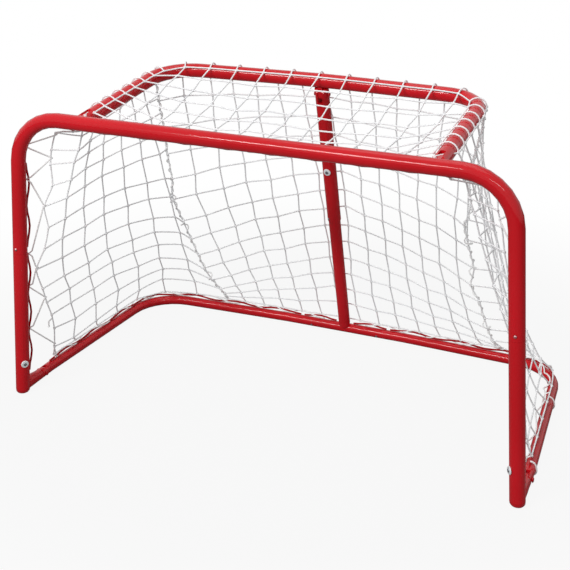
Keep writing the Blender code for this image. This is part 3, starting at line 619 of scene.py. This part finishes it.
# %% Loose borders
left_edge_rows = [(493, 64, 45), (463, 56, 45), (437, 54, 45), (398, 57, 45), (360, 42, 45), (320, 49, 45),
                  (278, 42, 48), (240, 28, 53), (198, 41, 59), (167, 51, 64), (137, 63, 68), (105, 72, 72),
                  (61, 79, 78)]
right_edge_rows = [(493, 58, 45), (463, 50, 45), (437, 46, 50), (398, 46, 55), (360, 40, 60), (320, 45, 66),
                   (278, 45, 72), (240, 45, 78), (198, 50, 82), (167, 58, 85), (137, 66, 86), (105, 74, 87),
                   (61, 84, 88)]
side_shares = [0, 0.04, 0.10, 0.16, 0.23, 0.31, 0.43, 0.51, 0.62, 0.69, 0.755, 0.83, 0.88, 0.93, 1]
left_shares = [0, 0.11, 0.22, 0.33, 0.43, 0.52, 0.61, 0.69, 0.76, 0.82, 0.88, 0.93, 0.96, 0.98, 1]
right_shares = [0, 0.09, 0.19, 0.285, 0.375, 0.46, 0.54, 0.62, 0.69, 0.76, 0.82, 0.88, 0.925, 0.965, 1]
left_seam_ways = [(-325, 332, 400), (-328, 345, 350), (-325, 353, 318), (-334, 365, 278), (-317, 382, 217),
                  (-308, 393, 180), (-298, 404, 143), (-290, 416, 108), (-277, 430, 76), (-263, 442, 54)]
right_seam_ways = [(-272, 332, 392), (-276, 347, 336), (-263, 354, 310), (-270, 366, 266), (-280, 378, 222),
                   (-271, 389, 183), (-290, 402, 141), (-293, 410, 119), (-302, 424, 82), (-314, 438, 44)]


def seam_line(ways, foot_x):
    """The seam from the corner of the top frame down to the base, in left-hand places."""
    seam_top = round_tube(*u_line.at(corner_mark), outer_side)
    foot = base_line.at(seam_mark(foot_x))[0] + Z * base_stand_off
    return Line([seam_top] + [Vector(w) for w in ways] + [foot])


left_seam = seam_line(left_seam_ways, left_foot_x)
right_seam = seam_line(right_seam_ways, right_foot_x)
print("seams:", round(left_seam.length), "and", round(right_seam.length), "mm")

# %% [markdown]
# A side panel hangs from the outer side of the top frame's leg. Its first row begins just below the
# crossbar, beside the bow's bend, and the next knot is behind the bar. On the left the rows climb from the
# scallops before they run back.

# %% Side panels
edge_top_x, behind_bar_x = -321.0, -295.0
edge_drop = (-Z * 0.8 + Y * 0.6) * 26
behind_bar_step = Y * 14 + Z * 10
leg_tie_start = frame_radius * 4.2
side_sag = 12.0
left_climb, right_climb = 18.0, 0.0
climb_end_rows, climb_end_columns = 3, 4
mirror = np.array((-1.0, 1.0, 1.0))


def side_panel(rows, seam, foot_x, climb):
    """A side panel in left-hand places, from the scalloped edge at the post round to the seam."""
    corner = bow_line.at(bow_line.find(lambda p: p.x > edge_top_x))[0]
    edge = [corner + edge_drop] + [by_post(*place) for place in rows]
    behind_bar = bow_line.at(bow_line.find(lambda p: p.x > behind_bar_x))[0] + behind_bar_step
    leg = u_line.spread(side_columns - 1, leg_tie_start, corner_mark)
    top = [edge[0], behind_bar] + [round_tube(p, d, outer_side) for p, d in leg]
    foot_run = base_line.spread(side_columns + 1, foot_mark, seam_mark(foot_x))
    bottom = [p + Z * base_stand_off for p, d in foot_run]
    edge.append(bottom[0])
    rear = [seam.at(seam.length * share)[0] for share in side_shares]
    grid = grid_between(top, bottom, edge, rear)
    row = np.arange(side_rows + 1)[:, None]
    column = np.arange(side_columns + 1)[None, :]
    lift = np.clip(row, 0, 1) * np.clip((side_rows - row) / climb_end_rows, 0, 1)
    lift = lift * np.clip(column, 0, 1) * np.clip((side_columns - column) / climb_end_columns, 0, 1)
    grid[:, :, 2] += climb * lift
    return grid + bulge(side_rows, side_columns) * np.array((side_sag, 0.0, side_sag))


left_grid = side_panel(left_edge_rows, left_seam, left_foot_x, left_climb)
right_grid = side_panel(right_edge_rows, right_seam, right_foot_x, right_climb) * mirror
print("side panel knots:", left_grid.shape[0] * left_grid.shape[1], "each")

# %% [markdown]
# The back part of the strip hangs from the rear bar to the base, behind the strut. The seams draw its
# outer columns aside, and that pull fades towards the strut. At the foot the border leans out behind the
# tee.

# %% Back panel
base_knots = 31
tee_lean = math.radians(28)
tee_lean_reach = 70
pull_fade = 1.6
rear_ties = u_line.spread(back_columns + 1, corner_mark, u_line.length - corner_mark)
back_top = as_array([round_tube(p, d, outer_side) for p, d in rear_ties])
left_run = [p for p, d in base_line.spread(base_knots, seam_mark(left_foot_x))]
right_run = [p for p, d in base_line.spread(base_knots, seam_mark(right_foot_x))]
base_border = []
for p in left_run + [mirrored(p) for p in right_run[-2::-1]]:
    lean = tee_lean * max(0.0, 1 - abs(p.x) / tee_lean_reach)
    base_border.append(p + (Y * math.sin(lean) + Z * math.cos(lean)) * base_stand_off)
back_bottom = as_array([p for p, d in Line(base_border).spread(back_columns + 1)])
v = np.linspace(0, 1, back_rows + 1)[:, None, None]
back_grid = back_top[None] * (1 - v) + back_bottom[None] * v
left_ends = as_array([left_seam.at(left_seam.length * s)[0] for s in left_shares])
right_ends = as_array([right_seam.at(right_seam.length * s)[0] for s in right_shares]) * mirror
half = np.linspace(-1, 1, back_columns + 1)[None, :, None]
left_pull = (left_ends[:, None] - back_grid[:, :1]) * np.maximum(-half, 0) ** pull_fade
right_pull = (right_ends[:, None] - back_grid[:, -1:]) * np.maximum(half, 0) ** pull_fade
back_grid = back_grid + left_pull + right_pull
print("back panel is", round(float(back_top[-1, 0] - back_top[0, 0])), "mm wide at the rear bar")

# %% [markdown]
# The top part of the strip lies on the inner side of the legs and of the rear bar, and sags between them.
# Its front border is tied below the crossbar, a little behind the bar's wavy rod, and rises at both ends
# to meet the legs.

# %% Top panel
bar_rod_tilt = math.radians(38)
border_tilt = bar_rod_tilt + math.radians(16)
border_stand = 25.3
border_climb_start, border_climb_length = 215, 50
top_sag = 20.0
left_leg = [round_tube(p, d, inner_side) for p, d in u_line.spread(top_rows + 1, leg_start, corner_mark)]
bar_ties = u_line.spread(top_columns + 1, corner_mark, u_line.length - corner_mark)
rear_bar = [round_tube(p, d, inner_side) for p, d in bar_ties]
low = under_bar(0, border_tilt, border_stand)
high = left_leg[0]
front_border = []
for k in range(top_columns + 1):
    x = high.x * (1 - 2 * k / top_columns)
    climb = min(max((abs(x) - border_climb_start) / border_climb_length, 0.0), 1.0)
    climb = climb * climb * (3 - 2 * climb)
    front_border.append(Vector((x, low.y + (high.y - low.y) * climb, low.z + (high.z - low.z) * climb)))
left_leg[0] = front_border[0]
top_grid = grid_between(front_border, rear_bar, left_leg, [mirrored(p) for p in left_leg])
top_grid -= bulge(top_rows, top_columns) * np.array((0.0, 0.0, top_sag))
print("front border is", round(crossbar_height - low.z, 1), "mm below the crossbar's centre")

# %% [markdown]
# Cord only pulls. So the last of the net's hang comes from a small simulation: every knot is a point, and
# every cord between two knots is a link that may not grow longer than its cut length. The upright cords
# are cut a little short and the level ones a little long, so the rows sag between them, and no two links
# are cut quite the same. The panels are joined here into one list of knots and links.

# %% Knots and links
level_cut = 1.008
strip_cut, left_side_cut, right_side_cut = 0.990, 0.960, 0.974
cut_spread = 0.012
start_of = {}
points, fixed, links, slack = [], [], [], []
rng = np.random.default_rng(7)


def add_grid(name, grid, upright):
    """Adds a panel's knots and links; the knots on its borders are tied to the steel and stay put."""
    start_of[name] = (len(points), grid.shape)
    rows, columns = grid.shape[:2]
    base = len(points)
    for i in range(rows):
        for j in range(columns):
            points.append(grid[i, j])
            fixed.append(i in (0, rows - 1) or j in (0, columns - 1))
            if i:
                links.append((base + i * columns + j, base + (i - 1) * columns + j))
                slack.append(upright)
            if j:
                links.append((base + i * columns + j, base + i * columns + j - 1))
                slack.append(level_cut)


add_grid("top", top_grid, strip_cut)
add_grid("back", back_grid, strip_cut)
add_grid("left", left_grid, left_side_cut)
add_grid("right", right_grid, right_side_cut)
points = np.array(points, float)
free = ~np.array(fixed)
links = np.array(links)
cut = np.linalg.norm(points[links[:, 0]] - points[links[:, 1]], axis=1)
cut *= np.array(slack) + rng.uniform(-cut_spread, cut_spread, len(links))
print("knots:", len(points), "cords:", len(links))

# %% [markdown]
# Now gravity pulls each free knot down a little at every step, and the links pull back until none is too
# long. The strut holds the back net away from itself. The net rests when its knots hardly move any more.
# It runs the same way every time.

# %% Let the net hang
steps = 260
pulls_each_step = 10
pull_boost = 1.6
kept_speed = 0.9
start_scatter = 0.9
strip_weight, side_weight = 0.05, 0.01
strut_half_width, strut_clearance = 17.0, 15.4
links_at = np.bincount(links.ravel(), minlength=len(points)).astype(float)
points[free] += rng.normal(0, start_scatter, (free.sum(), 3))
behind_strut = free & (np.abs(points[:, 0]) < strut_half_width)
behind_strut[:start_of["back"][0]] = False
foot, behind = np.array(tee_centre), np.array(strut_rear)
weight = np.full(len(points), strip_weight)
weight[start_of["left"][0]:] = side_weight
speed = np.zeros_like(points)
for _ in range(steps):
    before = points.copy()
    points[free] += speed[free] * kept_speed
    points[free, 2] -= weight[free]
    for _ in range(pulls_each_step):
        gap = points[links[:, 1]] - points[links[:, 0]]
        length = np.linalg.norm(gap, axis=1)
        pull = np.maximum(length - cut, 0.0) / np.maximum(length, 1e-6)
        move = gap * (pull * 0.5)[:, None]
        total = np.zeros_like(points)
        np.add.at(total, links[:, 0], move)
        np.add.at(total, links[:, 1], -move)
        points[free] += (total / links_at[:, None] * pull_boost)[free]
        depth = (points - foot) @ behind
        push = np.where(behind_strut & (depth < strut_clearance), strut_clearance - depth, 0.0)
        points += push[:, None] * behind
    speed = points - before
hung = {}
for name, (base, shape) in start_of.items():
    hung[name] = points[base:base + shape[0] * shape[1]].reshape(shape)
print("last move mm:", round(float(np.abs(speed).max()), 3))

# %% [markdown]
# A knotted mesh is never a clean grid. Each knot draws its four cords to one side and then to the other,
# which gives the wavy columns of the photograph, and no two meshes are quite the same.

# %% Wavy columns
sway_share = 0.014
for name, grid in hung.items():
    rows, columns = grid.shape[:2]
    for i in range(1, rows - 1):
        for j in range(1, columns - 1):
            down = grid[i + 1, j] - grid[i - 1, j]
            across = grid[i, j + 1] - grid[i, j - 1]
            sway = sway_share if (i + j) % 2 else -sway_share
            grid[i, j] += across * sway + down * sway * 0.8
print("sway of a column, mm:", round(float(np.linalg.norm(across) * 2 * sway_share), 1))

# %% [markdown]
# Net cord is twisted from a few strands. Their hollows run round the cord like the stripes of a barber's
# pole, so a sine of round plus along is enough for the relief, and the hollows get a painted shade that
# makes them slightly greyer; patches of dust are greyer too. The cords bring their own surface coordinates
# for this, round in the first and along in the second.

# %% Twisted strands group
twist, start, end = new_group(
    "cord_twist",
    [("Strands", "NodeSocketFloat", 3.0), ("Turn Length", "NodeSocketFloat", 7.0)],
    [("Height", "NodeSocketFloat"), ("Dust And Shade", "NodeSocketFloat")])
coordinates = twist.nodes.new("ShaderNodeUVMap")
coordinates.uv_map = "cord"
split = twist.nodes.new("ShaderNodeSeparateXYZ")
twist.links.new(coordinates.outputs["UV"], split.inputs["Vector"])
around = math_node(twist, "MULTIPLY", split.outputs["X"], start.outputs["Strands"])
lengthwise = math_node(twist, "DIVIDE", split.outputs["Y"], start.outputs["Turn Length"])
phase = math_node(twist, "MULTIPLY", math_node(twist, "ADD", around, lengthwise), 2 * math.pi)
half_phase = math_node(twist, "MULTIPLY", phase, 0.5)
wave = math_node(twist, "ABSOLUTE", math_node(twist, "SINE", half_phase))
place = twist.nodes.new("ShaderNodeTexCoord").outputs["Object"]
fuzz = math_node(twist, "MULTIPLY", noise_node(twist, place, scale=1400.0, detail=2.0), 0.25)
dusty_patches = stepped(twist, noise_node(twist, place, scale=9.0), low=0.40, high=0.65)
dust = math_node(twist, "MULTIPLY", dusty_patches, 0.6)
# painted shade: the hollows between the strands are drawn greyer
hollow_shade = stepped(twist, wave, low=0.0, high=0.5, out_low=0.5, out_high=0.0)
twist.links.new(math_node(twist, "ADD", wave, fuzz), end.inputs["Height"])
twist.links.new(math_node(twist, "ADD", dust, hollow_shade), end.inputs["Dust And Shade"])
print("twist group nodes:", len(twist.nodes))

# %% [markdown]
# Both cords are matt and white. A faint painted glow, a trace of light of their own, stands for the
# daylight that passes through thin white strands, and a little sheen for their fuzz. The lacing is the
# warmer of the two and more loosely laid.

# %% Cord materials


def cord_material(name, clean, dust_and_shade, strands, turn_length):
    """White twisted cord: matt, slightly fuzzy, greyer with painted shade in its hollows and with dust in
    patches.
    """
    material, tree, shader = new_material(name)
    shader.inputs["Roughness"].default_value = 0.62
    shader.inputs["Specular IOR Level"].default_value = 0.3
    shader.inputs["Sheen Weight"].default_value = 0.15
    # painted glow: the cords give off a little white light of their own
    shader.inputs["Emission Color"].default_value = (1.0, 1.0, 1.0, 1.0)
    shader.inputs["Emission Strength"].default_value = 0.08
    surface = tree.nodes.new("ShaderNodeGroup")
    surface.node_tree = twist
    surface.inputs["Strands"].default_value = strands
    surface.inputs["Turn Length"].default_value = turn_length
    # the second colour is dust in patches and painted shade in the strands' hollows
    mixed_colour(tree, surface.outputs["Dust And Shade"], clean, dust_and_shade, shader.inputs["Base Color"])
    bump(tree, surface.outputs["Height"], strength=0.6, distance=0.0004, shader=shader)
    return material


net_cord_white = cord_material("net_cord", clean=(0.93, 0.935, 0.945), dust_and_shade=(0.80, 0.81, 0.83),
                               strands=3.0, turn_length=7.0)
lacing_white = cord_material("lacing_cord", clean=(0.95, 0.95, 0.94), dust_and_shade=(0.84, 0.84, 0.84),
                             strands=3.0, turn_length=9.0)
print("cord materials:", net_cord_white.name, lacing_white.name)

# %% [markdown]
# One cord is a thin tube swept along its points. A ring of corners is carried from point to point without
# twisting, and each ring is joined to the next. Round and along are kept as surface coordinates, so that
# the twisted strands can be drawn by the material without any picture. Many cords make up one mesh.

# %% Cord builder
curve_pull = 0.30
odd_way = (0.31, 0.52, 0.79)  # a direction that no cord runs in, to start a ring or a winding from


def smooth_points(knots, per_cell):
    """Catmull-Rom curve through the knots; per_cell are the shares of each cell to sample."""
    knots = np.asarray(knots, float)
    padded = np.vstack([2 * knots[0] - knots[1], knots, 2 * knots[-1] - knots[-2]])
    out = []
    for k in range(len(knots) - 1):
        a, b, c, d = padded[k:k + 4]
        for t in per_cell:
            tangent_b = (c - a) * curve_pull
            tangent_c = (d - b) * curve_pull
            t2, t3 = t * t, t * t * t
            out.append(b * (2 * t3 - 3 * t2 + 1) + tangent_b * (t3 - 2 * t2 + t) + c * (3 * t2 - 2 * t3)
                       + tangent_c * (t3 - t2))
    out.append(knots[-1])
    return np.array(out)


class CordMesh:
    """Collects many swept cords into one mesh with round and along coordinates."""

    def __init__(self):
        self.points, self.faces, self.uvs = [], [], []

    def add(self, path, radii, sides=5):
        """Sweeps one cord; radii is one radius or one for each point."""
        path = np.asarray(path, float)
        radii = np.broadcast_to(np.asarray(radii, float), (len(path),))
        ahead = np.gradient(path, axis=0)
        ahead /= np.linalg.norm(ahead, axis=1)[:, None] + 1e-12
        side = np.cross(ahead[0], odd_way)
        side /= np.linalg.norm(side)
        along = np.concatenate([[0.0], np.cumsum(np.linalg.norm(np.diff(path, axis=0), axis=1))])
        base = len(self.points)
        turn = 2 * np.pi * np.arange(sides) / sides
        for k, p in enumerate(path):
            side = side - ahead[k] * (side @ ahead[k])
            side /= np.linalg.norm(side) + 1e-12
            up = np.cross(ahead[k], side)
            ring = p + radii[k] * (np.outer(np.cos(turn), side) + np.outer(np.sin(turn), up))
            self.points.extend(ring)
        for k in range(len(path) - 1):
            for s in range(sides):
                e = (s + 1) % sides
                a = base + k * sides
                self.faces.append((a + s, a + e, a + sides + e, a + sides + s))
                u0, u1, v0, v1 = s / sides, (s + 1) / sides, along[k], along[k + 1]
                self.uvs.extend([(u0, v0), (u1, v0), (u1, v1), (u0, v1)])
        last = base + (len(path) - 1) * sides
        for first, order in ((base, range(sides - 1, -1, -1)), (last, range(sides))):
            self.faces.append(tuple(first + s for s in order))
            self.uvs.extend([(0.0, 0.0)] * sides)

    def build(self, name, material):
        """Makes the object, in metres and with the posts' plane in its place."""
        mesh = bpy.data.meshes.new(name)
        world = np.array(self.points) * MM
        world[:, 1] += post_plane
        mesh.from_pydata(world.tolist(), [], self.faces)
        layer = mesh.uv_layers.new(name="cord")
        layer.uv.foreach_set("vector", np.array(self.uvs, np.float32).ravel())
        mesh.shade_smooth()
        mesh.materials.append(material)
        piece = bpy.data.objects.new(name, mesh)
        scene.collection.objects.link(piece)
        print(name, len(self.faces), "faces")
        return piece


print("a curve through 3 knots, sampled twice a cell, has",
      len(smooth_points([(0, 0, 0), (1, 0, 0), (1, 1, 0)], (0.0, 0.5))), "points")

# %% [markdown]
# The panels are drawn cord by cord. A knot is a swelling where two cords cross, with a small tight turn
# of cord round it.

# %% Knotted panel
cord_radius = 1.35
full_shares, quick_shares = (0.0, 0.05, 0.11, 0.36, 0.64, 0.89, 0.95), (0.0, 0.12, 0.5, 0.88)
swelling = {0.0: 1.75, 0.05: 1.35, 0.95: 1.35}
last_swelling = 1.5
turn_points, turns, turn_radius, turn_spread, turn_cord = 8, 1.15, 2.0, 2.2, 0.75


def knot_turn(grid, i, j):
    """The tight turn of cord round one knot."""
    rows, columns = grid.shape[:2]
    down = grid[min(i + 1, rows - 1), j] - grid[max(i - 1, 0), j]
    across = grid[i, min(j + 1, columns - 1)] - grid[i, max(j - 1, 0)]
    down /= np.linalg.norm(down)
    across /= np.linalg.norm(across)
    face = np.cross(down, across)
    loop = []
    for k in range(turn_points + 1):
        angle = 2 * math.pi * (k / turn_points * turns + 0.1)
        loop.append(grid[i, j] + down * (turn_radius * math.cos(angle))
                    + face * (turn_radius * math.sin(angle))
                    + across * (turn_spread * (k / turn_points - 0.5)))
    return loop


def knotted_panel(name, grid, extra=()):
    """Rows and columns of cord with a knot at each crossing, and any extra cords."""
    cords = CordMesh()
    rows, columns = grid.shape[:2]
    shares = full_shares
    for strand in [grid[i] for i in range(rows)] + [grid[:, j] for j in range(columns)]:
        radii = [cord_radius * swelling.get(t, 1.0) for _ in range(len(strand) - 1) for t in shares]
        cords.add(smooth_points(strand, shares), radii + [cord_radius * last_swelling])
    for path in extra:
        cords.add(path, cord_radius)
    for i in range(rows):
        for j in range(columns):
            cords.add(knot_turn(grid, i, j), cord_radius * turn_cord)
    return cords.build(name, net_cord_white)


print("net cord:", 2 * cord_radius, "mm thick")

# %% [markdown]
# Over the top frame the strip's cords go on past the border, round the crown of the tube, to the panel that
# hangs on its outer side. Each panel takes the place of its CAD node, which is hidden, and is drawn in the
# net cord's finish.

# %% Net panels
crown_steps = 8


def over_crown(distance):
    """A cord from the inner border over the crown to the outer side of the top frame."""
    p, d = u_line.at(distance)
    angles = [inner_side + (outer_side - inner_side) * k / crown_steps for k in range(crown_steps + 1)]
    return as_array([round_tube(p, d, angle) for angle in angles])


leg_step = (corner_mark - leg_start) / top_rows
leg_marks = [leg_start + leg_step * k for k in range(1, top_rows)]
bar_length = u_line.length - 2 * corner_mark
bar_marks = [corner_mark + bar_length * k / top_columns for k in range(top_columns + 1)]
crossings = [over_crown(m) for m in leg_marks + bar_marks + [u_line.length - m for m in leg_marks]]
panels = {name: knotted_panel(f"{name}_net_cords", grid, crossings if name == "top" else ())
          for name, grid in hung.items()}
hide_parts("top_net")
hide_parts("back_net")
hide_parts("left_side_net")
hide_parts("right_side_net")
print("cords over the top frame:", len(crossings))

# %% [markdown]
# Lacing ties the net to the steel and the panels to each other. It is one heavier cord that is wound
# round a border and its wavy rod, or zigzags between the post's rod and the scallops of the side panel.
# Winding is a spiral round a line; here and there it hangs out as a bigger loop, as on the seams of the
# photograph.

# %% Wound cord
lacing_radius = 1.4
points_each_turn = 9
loop_reach, loop_width = 6.5, 0.3
wander_length = 47.0


def wound(line, radius, turn_length, loops=(), wander=0.0):
    """A cord wound round a line; near each share in loops it hangs out as a bigger loop."""
    count = max(8, int(line.length / turn_length * points_each_turn))
    path = []
    for k in range(count + 1):
        share = k / count
        p, d = line.at(line.length * share)
        side = d.cross(Vector(odd_way)).normalized()
        up = d.cross(side)
        away = [((share - mark) * line.length) / (turn_length * loop_width) for mark in loops]
        reach = sum(math.exp(-distance ** 2) for distance in away)
        turn = 2 * math.pi * line.length * share / turn_length
        turn += wander * math.sin(line.length * share / wander_length)
        path.append(p + (side * math.cos(turn) + up * math.sin(turn)) * (radius + loop_reach * reach))
    return path


def smooth_line(knots):
    """A smooth line through knots."""
    return Line([Vector(p) for p in smooth_points(knots, (0.0, 0.25, 0.5, 0.75))])


def lacing(name, paths):
    """One lacing piece from its paths, in the lacing cord's finish."""
    cords = CordMesh()
    length = 0.0
    for path in paths:
        way = smooth_points(path, (0.0, 0.5))
        cords.add(way, lacing_radius)
        length += float(np.linalg.norm(np.diff(way, axis=0), axis=1).sum())
    print(name, "cord length mm:", round(length))
    piece = cords.build(name, lacing_white)
    return piece


def flipped(paths):
    """The same paths on the other side of the goal."""
    return [[mirrored(Vector(p)) for p in path] for path in paths]


print("lacing cord:", 2 * lacing_radius, "mm thick")

# %% [markdown]
# The post's lacing goes round the border cord of the side panel, round the post's wavy rod, and back. The
# table gives each height on the border with the heights on the rod that come after it. On the left a 2 cm
# tail is left over at the border, and a straight length runs in from the crossbar.

# %% Post lacing
lacing_table = ((491, (470,)), (448, (409,)), (362, (271,)), (244, (207,)), (179, (124,)), (68, ()))


def post_loop(height):
    """The lacing goes round the post's wavy rod."""
    return [by_post(height + 5, 22, 60), by_post(height, 18, 84), by_post(height - 5, 22, 60)]


def edge_loop(rows, height):
    """The lacing goes round the border cord of the side panel."""
    heights, stands, turns = (np.array(v, float)[::-1] for v in zip(*rows))
    stand, turn = float(np.interp(height, heights, stands)), float(np.interp(height, heights, turns))
    return [by_post(height + 2.5, stand - 2, turn), by_post(height, stand + 2.6, turn),
            by_post(height - 2.5, stand - 2, turn)]


def post_lacing(rows):
    """The lacing's way from the crossbar's corner rod down the post to the base."""
    path = []
    for height, rod_heights in lacing_table:
        path += edge_loop(rows, height)
        for rod_height in rod_heights:
            path += post_loop(rod_height)
    return path + [by_post(44, 85, 80), by_post(32, 92, 83)]


tail = [by_post(128, 66, 70), by_post(124, 58, 70), by_post(117, 56, 66), by_post(119, 52, 60)]
from_crossbar = [Vector(way) for way in ((-304, 17, 508), (-318, 22, 503), (-350, 30, 498))]
from_crossbar.append(by_post(491, 62, 45))
print("post lacing points:", len(post_lacing(left_edge_rows)))

# %% [markdown]
# On the base the lacing is wound loosely along the tube from the post to the tee. At three places on the
# right it is pulled tight in one full turn, which bulges where it goes over the net's border on top and
# stays off the floor.

# %% Base lacing
base_wind = 16.0
base_run_points = 60
tee_x = -44
right_wraps = (40.0, 262.0, 385.0)
right_lean = math.radians(38)
wrap_slant = 16.0
wrap_points = 16
wrap_stand, border_bulge = 10.8, 8.0
floor_gap = 0.8


def base_run(start, stop, stand, lean):
    """A line that follows the base tube; lean turns it from the top to the inner side along the leg."""
    way = []
    for p, d in base_line.spread(base_run_points, start, stop):
        angle = lean * abs(d.y)
        way.append(p + (Z * math.cos(angle) - Z.cross(d) * math.sin(angle)) * stand)
    return Line(way)


def base_wrap(mark, slant):
    """One full turn of lacing round the base tube and the net's border."""
    p, d = base_line.at(mark)
    outer = Z.cross(d)
    turn = []
    for k in range(wrap_points + 1):
        angle = 2 * math.pi * k / wrap_points
        stand = wrap_stand + border_bulge * max(0.0, math.cos(angle)) ** 3
        q = p + outer * (math.sin(angle) * stand) + Z * (math.cos(angle) * stand)
        q += d * (slant * (k / wrap_points - 0.5))
        q.z = max(q.z, floor_gap)
        turn.append(q)
    return turn


tee_stop = base_line.find(lambda p: p.x > tee_x)
print("base lacing runs from", round(foot_mark), "to", round(tee_stop), "mm along the base")

# %% [markdown]
# Now both sides are laced in the same order: the post, the seam and the base. The right side is drawn in
# left-hand places and flipped at the end. The crossbar's lacing runs below the bar, round its rod and the
# border.

# %% Lacing pieces
seam_winding = {"radius": 2.4, "turn_length": 21.0, "loops": (0.52, 0.63, 0.86), "wander": 2.5}
base_winding = {"radius": 4.0, "turn_length": 78.0, "wander": 1.6}
seam_knots = 21
seam_laces, post_laces, base_paths = [], [], []
for hand, rows, seam, lean, wraps in (("left", left_edge_rows, left_seam, 0.0, ()),
                                      ("right", right_edge_rows, right_seam, right_lean, right_wraps)):
    at_post = [post_lacing(rows)]
    if hand == "left":
        at_post += [tail, from_crossbar]
    knots = [seam.at(seam.length * share)[0] for share in np.linspace(0, 1, seam_knots)]
    at_seam = [wound(smooth_line(knots), **seam_winding)]
    at_base = [wound(base_run(foot_mark, tee_stop, base_wind, lean), **base_winding)]
    at_base += [base_wrap(mark, wrap_slant) for mark in wraps]
    if hand == "right":
        at_post, at_seam, at_base = flipped(at_post), flipped(at_seam), flipped(at_base)
    post_laces.append(lacing(f"{hand}_post_lacing", at_post))
    seam_laces.append(lacing(f"{hand}_seam_lacing", at_seam))
    base_paths += at_base
base_lace = lacing("base_lacing", base_paths)
bar_lace_tilt = bar_rod_tilt + math.radians(12)
bar_lace_stand, bar_lace_end = 22.5, 222
bar_steps = range(-bar_lace_end, bar_lace_end + 1, 6)
bar_way = Line([under_bar(x, bar_lace_tilt, bar_lace_stand) for x in bar_steps])
front_lace = lacing("crossbar_lacing", [wound(bar_way, radius=3.6, turn_length=52.0)])
print("lacing pieces:", len(seam_laces) + len(post_laces) + 2)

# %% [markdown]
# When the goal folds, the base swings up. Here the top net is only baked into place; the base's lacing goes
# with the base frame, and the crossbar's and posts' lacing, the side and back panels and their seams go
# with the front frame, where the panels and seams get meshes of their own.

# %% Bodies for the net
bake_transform(panels["top"])
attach(base_lace, "base_frame")
for piece in [front_lace, *post_laces]:
    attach(piece, "front_frame")
for piece in [panels["back"], panels["left"], panels["right"], *seam_laces]:
    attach(piece, "front_frame")
    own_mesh(piece)
print("pieces that fold flat:", len(panels) - 1 + len(seam_laces))
